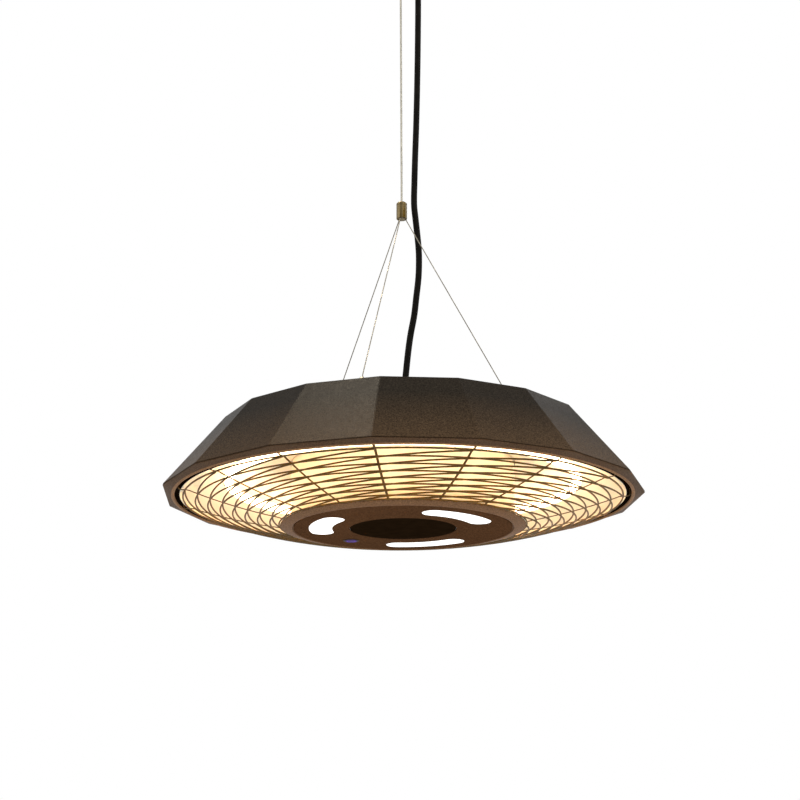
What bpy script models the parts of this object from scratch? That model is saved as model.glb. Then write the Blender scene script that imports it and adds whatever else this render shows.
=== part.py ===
"""Hanging patio heater in metres, +Z up.

The origin is the middle of the ceiling bracket's top face. Heights named "height" or "rise" are
measured up from the shade's rim plane, which lies HANG_DROP below the ceiling.
"""

import math

import bmesh
import bpy
from mathutils import Matrix, Vector

# Clearances shared by all pieces
FIT = 0.0003
OVERRUN = 0.002
BEZEL_STEPS = 48
ROUND_STEPS = 32
PLAIN_STEPS = 24
COUPLING_STEPS = 16
SMALL_STEPS = 16
HOLE_STEPS = 12
WIRE_STEPS = 6
LOOP_STEPS = 10
ROUTE_STEPS = 8
ROUNDING_STEPS = 3
LENS_SIDE_STEPS = 8
LENS_END_STEPS = 6
CLIP_STEPS = 8
VENT_STEPS = 3
HEX_SIDES = 6

# Whole object
HANG_DROP = 0.855
SIDES = 16
FIRST_CORNER_DEG = 16.04
FACET_DEG = 15.0
SMOOTH_DEG = 30.0
WIRE_SMOOTH_DEG = 60.0
WIRE_COUNT = 3
FIRST_WIRE_DEG = 12.5

# Shade shell
SHADE_RADIUS = 0.320
SHADE_TOP_RADIUS = 0.242
SHADE_HEIGHT = 0.0954
SHADE_WALL = 0.0018
SHADE_FLANGE = 0.0015
SHADE_TOP_FLANGE_WIDTH = 0.014

# Bezel ring under the shade
SEAM = 0.0009
BEZEL_EDGE = 0.0010
BEZEL_DEPTH = 0.0055
LIP_INSET = 0.018
LIP_WIDTH = 0.004
LIP_ROUNDING = 0.0011
COLLAR_WALL = 0.0015
COLLAR_HEIGHT = 0.005

# Reflector dish
REFLECTOR_GAP = 0.0044
REFLECTOR_RIM_DROP = 0.0037
REFLECTOR_DEPTH = 0.0477
REFLECTOR_WALL = 0.0012
REFLECTOR_SKIRT = 0.0008
RIM_CLEARANCE = 0.0010
# Way in from the rim and rise, as shares of the dish's width and depth
REFLECTOR_SHARES = (
    (0.0, 0.0),
    (0.038, 0.078),
    (0.154, 0.497),
    (0.324, 0.832),
    (0.494, 0.958),
    (0.731, 0.916),
    (1.0, 1.0),
)

# Heat shield above the reflector
SHIELD_WALL = 0.0008
SHIELD_CLEARANCE = 0.0069
SHIELD_TOP_HEIGHT = 0.0588
SHIELD_HOLE_RADIUS = 0.020

# Top plate
TOP_PLATE_THICKNESS = 0.002
VENT_COUNT = 8
VENT_WIDTH = 0.006
VENT_LENGTH = 0.050
VENT_CIRCLE_RADIUS = 0.120
FIRST_VENT_DEG = 51.0

# Wire guard
RING_COUNT = 8
OUTER_RING_INSET = 0.0066
INNER_RING_GAP = 0.0148
GUARD_WIRE = 0.0018
GUARD_SPOKE = 0.0025
GUARD_RIM_DROP = 0.0064
GUARD_DEPTH = 0.0305
# How far the guard's dome bulges past a straight cone, as a share of its depth
GUARD_BULGE_SHARE = 0.385
GUARD_ARC_STEPS = 2

# Lamp unit in the middle
HOUSING_RADIUS = 0.150
HOUSING_WALL = 0.0015
HOUSING_TOP_HEIGHT = 0.052
HOUSING_HOLE_RADIUS = 0.012
HUB_OVERHANG = 0.013
HUB_EDGE_DROP = 0.0395
HUB_EDGE = 0.0013
HUB_FACE_DROP = 0.0428
HUB_FACE_INSET = 0.016
HUB_LIP_WIDTH = 0.0012
HUB_LIP_DROP = 0.0003
HUB_LEDGE_WIDTH = 0.004
FACE_RECESS = 0.0005
FACE_THICKNESS = 0.0015
CAP_GAP = 0.0241
CAP_RECESS = 0.0005
CAP_THICKNESS = 0.0023
LENS_INSET = 0.0372
LENS_HALF_WIDTH = 0.0152
LENS_HALF_ANGLE_DEG = 21.8
LENS_PROUD = 0.0003
FIRST_LENS_DEG = 72.5
BOARD_LAP = 0.0105
BOARD_INSET = 0.013
BOARD_THICKNESS = 0.0016

# Push button
BUTTON_DEG = 133.5
BUTTON_INSET = 0.0058
BUTTON_RADIUS = 0.0084
BUTTON_PROUD = 0.0017
BUTTON_THICKNESS = 0.0028
BUTTON_ROUNDING = 0.0008
BUTTON_TRAVEL = 0.0012
STEM_RADIUS = 0.003
STEM_LENGTH = 0.0112
SLEEVE_WALL = 0.0016
SLEEVE_FLANGE_WIDTH = 0.0013
SLEEVE_FLANGE = 0.0008
SWITCH_RADIUS = 0.009
SWITCH_HEIGHT = 0.0123
SWITCH_FLANGE_RADIUS = 0.013
SWITCH_FLANGE = 0.001
SWITCH_HOLE_RADIUS = 0.011
SPRING_RADIUS = 0.005
SPRING_WIRE_RADIUS = 0.0003
SPRING_TURNS = 2
SPRING_TURN_POINTS = 10

# Heating tube, its ends and its clips
TUBE_INSET = 0.0656
TUBE_DISH_GAP = 0.0219
TUBE_RADIUS = 0.006
TUBE_GAP_DEG = 90.0
TUBE_GAP_HALF_ANGLE_DEG = 5.0
TUBE_POINTS = 35
END_LENGTH = 0.022
END_WIDTH = 0.018
END_HOLE_DEPTH = 0.016
END_SLACK = 0.0008
# Points of the tube, counted from its first end, that the clips hold
CLIP_POINTS = (9, 18, 27)
CLIP_THICKNESS = 0.0008
CLIP_SLACK = 0.0008
CLIP_WIDTH = 0.008
CLIP_MOUTH_HALF_ANGLE_DEG = 35.0

# Posts and terminal block above the lamp unit
POST_RADIUS = 0.005
POST_BORE_RADIUS = 0.002
POST_CIRCLE_RADIUS = 0.060
TERMINAL_LENGTH = 0.044
TERMINAL_WIDTH = 0.022
TERMINAL_HEIGHT = 0.016
TERMINAL_CIRCLE_RADIUS = 0.075
TERMINAL_GROOVE_WIDTH = 0.002
TERMINAL_GROOVE_DEPTH = 0.004
TERMINAL_WAYS = 3

# Cable and its gland
CABLE_RADIUS = 0.0045
CABLE_POINT_DIAMETERS = 2.5
GLAND_THREAD_RADIUS = 0.0078
GLAND_THREAD_BELOW = 0.0096
GLAND_THREAD_ABOVE = 0.008
GLAND_HEX_RADIUS = 0.0125
GLAND_HEX_HEIGHT = 0.0045
DOME_RADIUS = 0.0115
DOME_HEIGHT = 0.0145
DOME_SHOULDER_SHARE = 0.55
DOME_TOP_SHARE = 0.62
LOCKNUT_RADIUS = 0.0125
LOCKNUT_HEIGHT = 0.004

# Coupling where the wires meet
COUPLING_HEIGHT = 0.4045
COUPLING_RADIUS = 0.0076
COUPLING_LENGTH = 0.0253
COUPLING_CHAMFER = 0.0006
COUPLING_BASE = 0.006
COUPLING_BORE_RADIUS = 0.0046
COUPLING_HOLE_DEPTH = 0.004
CAP_HEAD = 0.0045
CAP_BAND = 0.0018
CAP_SHOULDER_RADIUS = 0.0056
CAP_PLUG = 0.006
DIMPLE_RADIUS = 0.0032
DIMPLE_DEPTH = 0.0012
STOP_RADIUS = 0.0034
STOP_LENGTH = 0.005

# Lower suspension wires, their anchor eyes, nuts and ferrules
LOWER_WIRE_RADIUS = 0.00075
LOWER_WIRE_CIRCLE = 0.0058
ANCHOR_INSET = 0.062
ANCHOR_EYE_RADIUS = 0.0045
ANCHOR_WIRE_RADIUS = 0.00125
ANCHOR_RISE = 0.0065
ANCHOR_FLANGE_RADIUS = 0.004
ANCHOR_FLANGE = 0.0012
ANCHOR_SHANK_RADIUS = 0.002
ANCHOR_NUT_RADIUS = 0.0039
ANCHOR_NUT_HEIGHT = 0.0032
ANCHOR_END = 0.0015
LOWER_LOOP_RADIUS = 0.003
LOWER_LOOP_LENGTH = 0.009
LOWER_FERRULE_LENGTH = 0.007
LOWER_FERRULE_WALL = 0.0008

# Upper suspension wire, thimble and ferrule
UPPER_WIRE_RADIUS = 0.00155
THIMBLE_RADIUS = 0.004
THIMBLE_WALL = 0.0008
THIMBLE_WIDTH = 0.0044
THIMBLE_LEG_SHARE = 0.68
UPPER_LOOP_LENGTH = 0.015
UPPER_FERRULE_LENGTH = 0.011
UPPER_FERRULE_WALL = 0.0013
LEG_GAP = 0.0004
TAIL_SHARE = 0.85
RAMP_LENGTH = 0.005

# Quick link and its nut
LINK_WIRE_RADIUS = 0.002
LINK_HALF_WIDTH = 0.007
LINK_LENGTH = 0.026
LINK_MOUTH = 0.001
LINK_NUT_RADIUS = 0.004
LINK_NUT_LENGTH = 0.009

# Eye bolt and its nut
EYE_RADIUS = 0.009
EYE_WIRE_RADIUS = 0.0025
EYE_DROP = 0.030
EYE_SHANK_RADIUS = 0.004
EYE_NUT_RADIUS = 0.0075
EYE_NUT_HEIGHT = 0.005

# Ceiling bracket
BRACKET_WIDTH = 0.024
BRACKET_THICKNESS = 0.0025
BRACKET_EAR = 0.016
BOSS_RADIUS = 0.007
BOSS_HEIGHT = 0.008
BOSS_ROOF = 0.0012
SLOT_RADIUS = 0.0025
SLOT_LENGTH = 0.014
SLOT_OFFSET = 0.034

# Rose cover, its screws, bush and terminal block
ROSE_RADIUS = 0.050
ROSE_WALL = 0.0015
ROSE_DEPTH = 0.045
ROSE_ROUNDING = 0.006
ROSE_HOLE_RADIUS = 0.014
ROSE_SCREW_DROP = 0.010
SCREW_RADIUS = 0.0016
SCREW_LENGTH = 0.006
SCREW_HEAD_RADIUS = 0.0034
SCREW_HEAD = 0.0018
BUSH_NECK_RADIUS = 0.0066
BUSH_FLANGE_RADIUS = 0.0085
BUSH_FLANGE = 0.002
BUSH_MOUTH = 0.0008
ROSE_BLOCK_LENGTH = 0.014
ROSE_BLOCK_WIDTH = 0.020
ROSE_BLOCK_HEIGHT = 0.014
ROSE_BLOCK_OFFSET = 0.018

# Cable route, chosen by hand: (x, y, height above the rim plane)
CABLE_ROUTE = (
    (0.0, 0.0, 0.084),
    (0.0, 0.0, 0.113),
    (0.0012, 0.0030, 0.140),
    (0.0045, 0.0080, 0.1744),
    (0.0079, 0.0110, 0.2078),
    (0.0116, 0.0130, 0.2356),
    (0.0167, 0.0140, 0.2637),
    (0.0200, 0.0145, 0.2920),
    (0.0233, 0.0145, 0.3221),
    (0.0242, 0.0145, 0.3509),
    (0.0232, 0.0140, 0.3738),
    (0.0199, 0.0135, 0.4092),
    (0.0178, 0.0130, 0.4340),
    (0.0185, 0.0115, 0.4669),
    (0.0197, 0.0105, 0.5048),
    (0.0217, 0.0096, 0.5577),
    (0.0235, 0.0092, 0.6200),
    (0.0250, 0.0090, 0.6900),
    (0.0260, 0.0090, 0.7600),
    (0.0260, 0.0090, 0.8050),
    (0.0260, 0.0090, 0.8220),
)

# Finishes: colour, roughness, metallic
POWDER_COAT = ((0.075, 0.058, 0.045), 0.55, 0.2)
WARM_COAT = ((0.090, 0.060, 0.040), 0.50, 0.2)
GUARD_METAL = ((0.150, 0.105, 0.040), 0.40, 0.9)
REFLECTOR_METAL = ((0.90, 0.80, 0.55), 0.25, 1.0)
STEEL = ((0.50, 0.49, 0.46), 0.35, 1.0)
WIRE_STEEL = ((0.42, 0.40, 0.36), 0.40, 1.0)
ANTIQUE_BRASS = ((0.26, 0.21, 0.12), 0.35, 1.0)
BLACK_RUBBER = ((0.012, 0.011, 0.010), 0.60, 0.0)
BLACK_PLASTIC = ((0.020, 0.016, 0.013), 0.45, 0.0)
WHITE_PLASTIC = ((0.85, 0.85, 0.82), 0.40, 0.0)
LENS_WHITE = ((0.95, 0.95, 0.92), 0.30, 0.0)
LAMP_GLASS = ((1.0, 0.75, 0.40), 0.15, 0.0)
CERAMIC = ((0.80, 0.76, 0.68), 0.60, 0.0)
BOARD_WHITE = ((0.90, 0.90, 0.88), 0.50, 0.0)
BUTTON_GLOW = ((0.12, 0.08, 0.35), 0.30, 0.0)

# Places worked out from the sizes above
RIM_Z = -HANG_DROP
FLAT_SHARE = math.cos(math.pi / SIDES)
FIRST_CORNER = math.radians(FIRST_CORNER_DEG)
SHADE_SLOPE = (SHADE_RADIUS - SHADE_TOP_RADIUS) / SHADE_HEIGHT
PLATE_TOP = SHADE_HEIGHT - SHADE_FLANGE - FIT
PLATE_BOTTOM = PLATE_TOP - TOP_PLATE_THICKNESS
HUB_RADIUS = HOUSING_RADIUS + HUB_OVERHANG
HUB_FACE_RADIUS = HUB_RADIUS - HUB_FACE_INSET
LENS_CIRCLE_RADIUS = HUB_FACE_RADIUS - LENS_INSET
CAP_RADIUS = LENS_CIRCLE_RADIUS - LENS_HALF_WIDTH - CAP_GAP
BUTTON_CIRCLE_RADIUS = LENS_CIRCLE_RADIUS - BUTTON_INSET
BOARD_INNER_RADIUS = CAP_RADIUS - BOARD_LAP
BOARD_OUTER_RADIUS = HUB_FACE_RADIUS - BOARD_INSET
LIP_BORE_RADIUS = SHADE_RADIUS - LIP_INSET
COLLAR_RADIUS = LIP_BORE_RADIUS + COLLAR_WALL
REFLECTOR_RADIUS = LIP_BORE_RADIUS - REFLECTOR_GAP
OUTER_RING_RADIUS = REFLECTOR_RADIUS - OUTER_RING_INSET
RING_PITCH = (OUTER_RING_RADIUS - HUB_RADIUS - INNER_RING_GAP) / (RING_COUNT - 1)
TUBE_CIRCLE_RADIUS = REFLECTOR_RADIUS - TUBE_INSET
ANCHOR_CIRCLE_RADIUS = SHADE_TOP_RADIUS - ANCHOR_INSET
SHIELD_TOP_RADIUS = (
    SHADE_RADIUS - SHADE_SLOPE * SHIELD_TOP_HEIGHT - SHADE_WALL
) * FLAT_SHARE - SHIELD_CLEARANCE
REFLECTOR_FLANGE_HEIGHT = COLLAR_HEIGHT + FIT
SKIRT_RADIUS = REFLECTOR_RADIUS + REFLECTOR_SKIRT
SHIELD_FLANGE_HEIGHT = REFLECTOR_FLANGE_HEIGHT + REFLECTOR_WALL + FIT
DISH_INNER_RADIUS = (HOUSING_RADIUS + FIT) / math.cos(math.pi / ROUND_STEPS)
HUB_TOP = -HUB_EDGE_DROP + HUB_EDGE
FACE_BOTTOM = -HUB_FACE_DROP + FACE_RECESS
FACE_TOP = FACE_BOTTOM + FACE_THICKNESS
BOARD_BOTTOM = FACE_BOTTOM + CAP_RECESS + CAP_THICKNESS + FIT
BOARD_TOP = BOARD_BOTTOM + BOARD_THICKNESS
BUTTON_BACK = FACE_BOTTOM - BUTTON_PROUD + BUTTON_THICKNESS
SWITCH_BOTTOM = BOARD_TOP + FIT
TUBE_STEP_DEG = (360 - 2 * TUBE_GAP_HALF_ANGLE_DEG) / TUBE_POINTS
TUBE_START_DEG = TUBE_GAP_DEG + TUBE_GAP_HALF_ANGLE_DEG
LINK_BAR_DROP = EYE_DROP + EYE_RADIUS
LINK_TOP_DROP = LINK_BAR_DROP - EYE_WIRE_RADIUS - LINK_WIRE_RADIUS - FIT
LINK_BOTTOM_DROP = LINK_TOP_DROP + LINK_LENGTH
LINK_MIDDLE_DROP = LINK_TOP_DROP + LINK_LENGTH / 2
UPPER_LEG_OFFSET = UPPER_WIRE_RADIUS + LEG_GAP / 2
LOWER_LEG_OFFSET = LOWER_WIRE_RADIUS + LEG_GAP / 2
UPPER_LOOP_RADIUS = THIMBLE_RADIUS + THIMBLE_WALL + FIT + UPPER_WIRE_RADIUS
LINK_SAG = LINK_HALF_WIDTH - math.sqrt(LINK_HALF_WIDTH**2 - (THIMBLE_WIDTH / 2) ** 2)
UPPER_LOOP_DROP = LINK_BOTTOM_DROP - LINK_WIRE_RADIUS - LINK_SAG - FIT + THIMBLE_RADIUS
COUPLING_BODY_LENGTH = COUPLING_LENGTH - CAP_HEAD - FIT
CAP_BASE_HEIGHT = COUPLING_HEIGHT + COUPLING_BODY_LENGTH + FIT
STOP_TOP_HEIGHT = CAP_BASE_HEIGHT - CAP_PLUG - FIT
STOP_BOTTOM_HEIGHT = STOP_TOP_HEIGHT - STOP_LENGTH
ROSE_BORE_RADIUS = ROSE_RADIUS - ROSE_WALL
BRACKET_HALF_LENGTH = math.sqrt((ROSE_BORE_RADIUS - FIT) ** 2 - (BRACKET_WIDTH / 2) ** 2)
CABLE_TOP_PLACE = Vector(CABLE_ROUTE[-1][:2])


def on_circle(radius, degrees):
    """The point (x, y) at this radius and azimuth."""
    angle = math.radians(degrees)
    return Vector((radius * math.cos(angle), radius * math.sin(angle)))


def arc(centre, radius, start_deg, end_deg, steps):
    """Points (u, v) along an arc, both ends included."""
    points = []
    for step in range(steps + 1):
        point = on_circle(radius, start_deg + (end_deg - start_deg) * step / steps)
        points.append((centre[0] + point.x, centre[1] + point.y))
    return points


def shade_inner_radius(height):
    """Corner radius of the shade wall's inner face at a height."""
    return SHADE_RADIUS - SHADE_SLOPE * height - SHADE_WALL


def finished(shape, finish):
    """Gives the object its own material."""
    colour, roughness, metallic = finish
    material = bpy.data.materials.new(shape.name + "_finish")
    material.use_nodes = True
    shader = material.node_tree.nodes["Principled BSDF"]
    shader.inputs["Base Color"].default_value = (*colour, 1.0)
    shader.inputs["Roughness"].default_value = roughness
    shader.inputs["Metallic"].default_value = metallic
    material.diffuse_color = (*colour, 1.0)
    shape.data.materials.append(material)
    return shape


def placed(name, data, finish):
    """Links new object data into the scene; without a finish it is a helper that isn't rendered."""
    shape = bpy.data.objects.new(name, data)
    bpy.context.scene.collection.objects.link(shape)
    if finish is None:
        shape.hide_render = True
        shape.display_type = "WIRE"
        return shape
    return finished(shape, finish)


def from_bmesh(name, build, finish, smooth_deg=SMOOTH_DEG):
    """Turns a bmesh into an object with outward faces and smooth round sides."""
    bmesh.ops.recalc_face_normals(build, faces=build.faces)
    mesh = bpy.data.meshes.new(name)
    build.to_mesh(mesh)
    build.free()
    mesh.shade_smooth()
    mesh.set_sharp_from_angle(angle=math.radians(smooth_deg))
    return placed(name, mesh, finish)


def spun(name, outline, finish, steps=ROUND_STEPS, turn=0.0, smooth_deg=SMOOTH_DEG):
    """A closed outline of (radius, z) points turned about Z; points on the axis close it there."""
    build = bmesh.new()
    corners = []
    for radius, z in outline:
        corners.append(build.verts.new((radius * math.cos(turn), radius * math.sin(turn), z)))
    edges = []
    for start, end in zip(corners, corners[1:] + corners[:1]):
        on_axis = start.co.xy.length == 0 and end.co.xy.length == 0
        if not on_axis:
            edges.append(build.edges.new((start, end)))
    bmesh.ops.spin(
        build,
        geom=corners + edges,
        cent=(0, 0, 0),
        axis=(0, 0, 1),
        angle=math.tau,
        steps=steps,
        use_merge=True,
    )
    bmesh.ops.remove_doubles(build, verts=build.verts, dist=FIT / ROUND_STEPS)
    return from_bmesh(name, build, finish, smooth_deg)


def prisms(name, outlines, bottom, top, finish):
    """Each outline of (x, y) points, raised from bottom to top."""
    build = bmesh.new()
    for outline in outlines:
        corners = [build.verts.new((x, y, bottom)) for x, y in outline]
        base = build.faces.new(corners)
        raised = bmesh.ops.extrude_face_region(build, geom=[base])
        lifted = [item for item in raised["geom"] if isinstance(item, bmesh.types.BMVert)]
        bmesh.ops.translate(build, verts=lifted, vec=(0, 0, top - bottom))
    return from_bmesh(name, build, finish)


def box(name, size, centre, finish):
    """A box of this size round its centre."""
    half_x = size[0] / 2
    half_y = size[1] / 2
    outline = ((-half_x, -half_y), (half_x, -half_y), (half_x, half_y), (-half_x, half_y))
    shape = prisms(name, [outline], -size[2] / 2, size[2] / 2, finish)
    shape.location = centre
    return shape


def rod(name, start, end, radius, finish, steps=SMALL_STEPS):
    """A round rod from start to end."""
    start = Vector(start)
    length = (Vector(end) - start).length
    outline = ((0, 0), (radius, 0), (radius, length), (0, length))
    shape = spun(name, outline, finish, steps)
    shape.location = start
    shape.rotation_euler = (Vector(end) - start).to_track_quat("Z", "Y").to_euler()
    return shape


def ring(name, ring_radius, wire_radius, finish, steps=SMALL_STEPS):
    """A round wire bent to a closed ring about Z."""
    section = arc((ring_radius, 0), wire_radius, 0, 360, WIRE_STEPS)[:-1]
    return spun(name, section, finish, steps)


def wire(name, points, radius, finish, resolution=2):
    """A round wire through the points."""
    curve = bpy.data.curves.new(name, "CURVE")
    curve.dimensions = "3D"
    curve.bevel_depth = radius
    curve.bevel_resolution = resolution
    curve.use_fill_caps = True
    spline = curve.splines.new("POLY")
    spline.points.add(len(points) - 1)
    for place, point in zip(spline.points, points):
        place.co = (*point, 1.0)
    spline.use_smooth = True
    return placed(name, curve, finish)


def combined(shape, other, operation):
    """Adds a Boolean to shape and hides the other object."""
    boolean = shape.modifiers.new(other.name, "BOOLEAN")
    boolean.operation = operation
    boolean.solver = "EXACT"
    boolean.object = other
    return shape


def cut(shape, cutter):
    """Takes the cutter away from the shape."""
    return combined(shape, cutter, "DIFFERENCE")


def fused(shape, other):
    """Joins the other object to the shape."""
    return combined(shape, other, "UNION")


def drilled(shape, start, end, radius):
    """A hole through the shape from start to end, past both; its flat sides lie at the radius."""
    way = (Vector(end) - Vector(start)).normalized() * OVERRUN
    corner_radius = radius / math.cos(math.pi / HOLE_STEPS)
    drill = rod(
        shape.name + "_drill",
        Vector(start) - way,
        Vector(end) + way,
        corner_radius,
        None,
        HOLE_STEPS,
    )
    return cut(shape, drill)


def hexagon(radius):
    """Corners of a hexagon."""
    return arc((0, 0), radius, 0, 360, HEX_SIDES)[:-1]


def stadium(half_gap, radius, steps=WIRE_STEPS):
    """Outline of two half circles this far from the middle, along X."""
    right = arc((half_gap, 0), radius, -90, 90, steps)
    left = arc((-half_gap, 0), radius, 90, 270, steps)
    return right + left


def hex_nut(name, radius, bore_radius, height, place, finish):
    """A hexagon nut whose lower face is at place."""
    nut = prisms(name, [hexagon(radius)], 0, height, finish)
    nut.location = place
    return drilled(nut, place, Vector(place) + Vector((0, 0, height)), bore_radius)


def axis_empty(name, place):
    """An empty on a joint's axis, the parent of the pieces that move there."""
    empty = bpy.data.objects.new(name, None)
    empty.location = place
    bpy.context.scene.collection.objects.link(empty)
    return empty


def carried_by(empty, shapes):
    """Parents the shapes to an empty and leaves them where they are."""
    for shape in shapes:
        shape.parent = empty
        shape.matrix_parent_inverse = Matrix.Translation(-Vector(empty.location))


def ceiling_bracket():
    """Bar with two ears, slots and a blind threaded boss for the eye bolt."""
    half = BRACKET_HALF_LENGTH
    inner = half - BRACKET_THICKNESS
    outline = (
        (-half, 0),
        (-half, -BRACKET_EAR),
        (-inner, -BRACKET_EAR),
        (-inner, -BRACKET_THICKNESS),
        (inner, -BRACKET_THICKNESS),
        (inner, -BRACKET_EAR),
        (half, -BRACKET_EAR),
        (half, 0),
    )
    bracket = prisms("ceiling_bracket", [outline], -BRACKET_WIDTH / 2, BRACKET_WIDTH / 2, STEEL)
    bracket.rotation_euler = (math.pi / 2, 0, 0)
    boss_bottom = -BRACKET_THICKNESS - BOSS_HEIGHT
    boss = rod("bracket_boss", (0, 0, boss_bottom), (0, 0, -BOSS_ROOF), BOSS_RADIUS, None)
    fused(bracket, boss)
    bore = rod(
        "boss_bore",
        (0, 0, boss_bottom - OVERRUN),
        (0, 0, -BOSS_ROOF),
        EYE_SHANK_RADIUS + FIT,
        None,
    )
    cut(bracket, bore)
    slots = []
    for side in (-1, 1):
        outline = stadium((SLOT_LENGTH - 2 * SLOT_RADIUS) / 2, SLOT_RADIUS)
        slots.append([(x + side * SLOT_OFFSET, y) for x, y in outline])
    cut(bracket, prisms("bracket_slots", slots, -BRACKET_THICKNESS - OVERRUN, OVERRUN, None))
    end = half + OVERRUN
    return drilled(
        bracket, (-end, 0, -ROSE_SCREW_DROP), (end, 0, -ROSE_SCREW_DROP), SCREW_RADIUS + FIT
    )


def rose_cover():
    """Cup over the ceiling fittings, with holes for the link, the cable and two screws."""
    centre = (ROSE_RADIUS - ROSE_ROUNDING, -ROSE_DEPTH + ROSE_ROUNDING)
    outer = arc(centre, ROSE_ROUNDING, 0, -90, ROUNDING_STEPS)
    inner = arc(centre, ROSE_ROUNDING - ROSE_WALL, -90, 0, ROUNDING_STEPS)
    outline = [(ROSE_RADIUS, -FIT)]
    outline += outer
    outline += [(ROSE_HOLE_RADIUS, -ROSE_DEPTH), (ROSE_HOLE_RADIUS, -ROSE_DEPTH + ROSE_WALL)]
    outline += inner
    outline += [(ROSE_BORE_RADIUS, -FIT)]
    cover = spun("rose_cover", outline, POWDER_COAT, PLAIN_STEPS)
    x, y = CABLE_TOP_PLACE
    floor_top = -ROSE_DEPTH + ROSE_WALL
    drilled(cover, (x, y, -ROSE_DEPTH), (x, y, floor_top), BUSH_NECK_RADIUS + FIT)
    return drilled(
        cover,
        (-ROSE_RADIUS, 0, -ROSE_SCREW_DROP),
        (ROSE_RADIUS, 0, -ROSE_SCREW_DROP),
        SCREW_RADIUS + FIT,
    )


def rose_screws():
    """Two pan-head screws through the cover into the bracket's ears."""
    screws = []
    for number, side in enumerate((-1, 1), start=1):
        outline = (
            (0, 0),
            (SCREW_HEAD_RADIUS, 0),
            (SCREW_HEAD_RADIUS, SCREW_HEAD / 2),
            (SCREW_HEAD_RADIUS - SCREW_HEAD / 2, SCREW_HEAD),
            (0, SCREW_HEAD),
        )
        screw = spun("rose_screw_%d" % number, outline, STEEL, SMALL_STEPS)
        shank = rod("screw_shank", (0, 0, -SCREW_LENGTH), (0, 0, SCREW_HEAD / 2), SCREW_RADIUS, None)
        shank.parent = screw
        fused(screw, shank)
        screw.location = (side * (ROSE_RADIUS + FIT), 0, -ROSE_SCREW_DROP)
        screw.rotation_euler = (0, side * math.pi / 2, 0)
        screws.append(screw)
    return screws


def rose_bush():
    """Bush that lines the cable's hole in the cover."""
    bore = CABLE_RADIUS + FIT
    lower = -ROSE_DEPTH - FIT
    upper = -ROSE_DEPTH + ROSE_WALL + FIT
    outline = (
        (bore + BUSH_MOUTH, lower - BUSH_FLANGE),
        (BUSH_FLANGE_RADIUS - BUSH_MOUTH, lower - BUSH_FLANGE),
        (BUSH_FLANGE_RADIUS, lower),
        (BUSH_NECK_RADIUS, lower),
        (BUSH_NECK_RADIUS, upper),
        (BUSH_FLANGE_RADIUS, upper),
        (BUSH_FLANGE_RADIUS - BUSH_MOUTH, upper + BUSH_FLANGE),
        (bore, upper + BUSH_FLANGE),
        (bore, lower),
    )
    bush = spun("rose_bush", outline, BLACK_RUBBER, SMALL_STEPS)
    bush.location = (*CABLE_TOP_PLACE, 0)
    return bush


def grooved_block(name, length, width, height, centre, turn):
    """A terminal block with a groove between its ways."""
    block = box(name, (length, width, height), centre, WHITE_PLASTIC)
    block.rotation_euler = (0, 0, turn)
    half_width = width / 2 + OVERRUN
    grooves = []
    for groove in range(1, TERMINAL_WAYS):
        middle = length * (groove / TERMINAL_WAYS - 1 / 2)
        near = middle - TERMINAL_GROOVE_WIDTH / 2
        far = middle + TERMINAL_GROOVE_WIDTH / 2
        grooves.append(((near, -half_width), (far, -half_width), (far, half_width), (near, half_width)))
    bottom = -height / 2 - OVERRUN
    cutter = prisms(name + "_grooves", grooves, bottom, -height / 2 + TERMINAL_GROOVE_DEPTH, None)
    cutter.parent = block
    return cut(block, cutter)


def rose_terminal_block():
    """Terminal block under the bracket's arm."""
    drop = BRACKET_THICKNESS + FIT + ROSE_BLOCK_HEIGHT / 2
    centre = (-ROSE_BLOCK_OFFSET, 0, -drop)
    return grooved_block(
        "rose_terminal_block",
        ROSE_BLOCK_WIDTH,
        ROSE_BLOCK_LENGTH,
        ROSE_BLOCK_HEIGHT,
        centre,
        math.pi / 2,
    )


def eye_bolt():
    """Ring with a threaded shank that ends in the bracket's boss."""
    eye = ring("eye_bolt", EYE_RADIUS, EYE_WIRE_RADIUS, STEEL)
    eye.rotation_euler = (math.pi / 2, 0, 0)
    eye.location = (0, 0, -EYE_DROP)
    shank_bottom = -EYE_DROP + EYE_RADIUS
    shank_top = -BOSS_ROOF - FIT
    return fused(
        eye, rod("eye_shank", (0, 0, shank_bottom), (0, 0, shank_top), EYE_SHANK_RADIUS, None)
    )


def eye_nut():
    """Nut that locks the eye bolt under the boss."""
    top = -BRACKET_THICKNESS - BOSS_HEIGHT - FIT
    place = (0, 0, top - EYE_NUT_HEIGHT)
    return hex_nut("eye_nut", EYE_NUT_RADIUS, EYE_SHANK_RADIUS + FIT, EYE_NUT_HEIGHT, place, STEEL)


def quick_link():
    """Oval wire link in the YZ plane, open inside its nut."""
    straight = LINK_LENGTH / 2 - LINK_HALF_WIDTH
    middle = -LINK_MIDDLE_DROP
    points = [(0, LINK_HALF_WIDTH, middle - LINK_MOUTH / 2)]
    for y, z in arc((0, -straight), LINK_HALF_WIDTH, 0, -180, LOOP_STEPS):
        points.append((0, y, middle + z))
    for y, z in arc((0, straight), LINK_HALF_WIDTH, 180, 0, LOOP_STEPS):
        points.append((0, y, middle + z))
    points.append((0, LINK_HALF_WIDTH, middle + LINK_MOUTH / 2))
    return wire("quick_link", points, LINK_WIRE_RADIUS, STEEL)


def quick_link_nut():
    """Sleeve nut that closes the link."""
    place = (0, LINK_HALF_WIDTH, -LINK_MIDDLE_DROP - LINK_NUT_LENGTH / 2)
    bore = LINK_WIRE_RADIUS + FIT
    return hex_nut("quick_link_nut", LINK_NUT_RADIUS, bore, LINK_NUT_LENGTH, place, STEEL)


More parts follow.
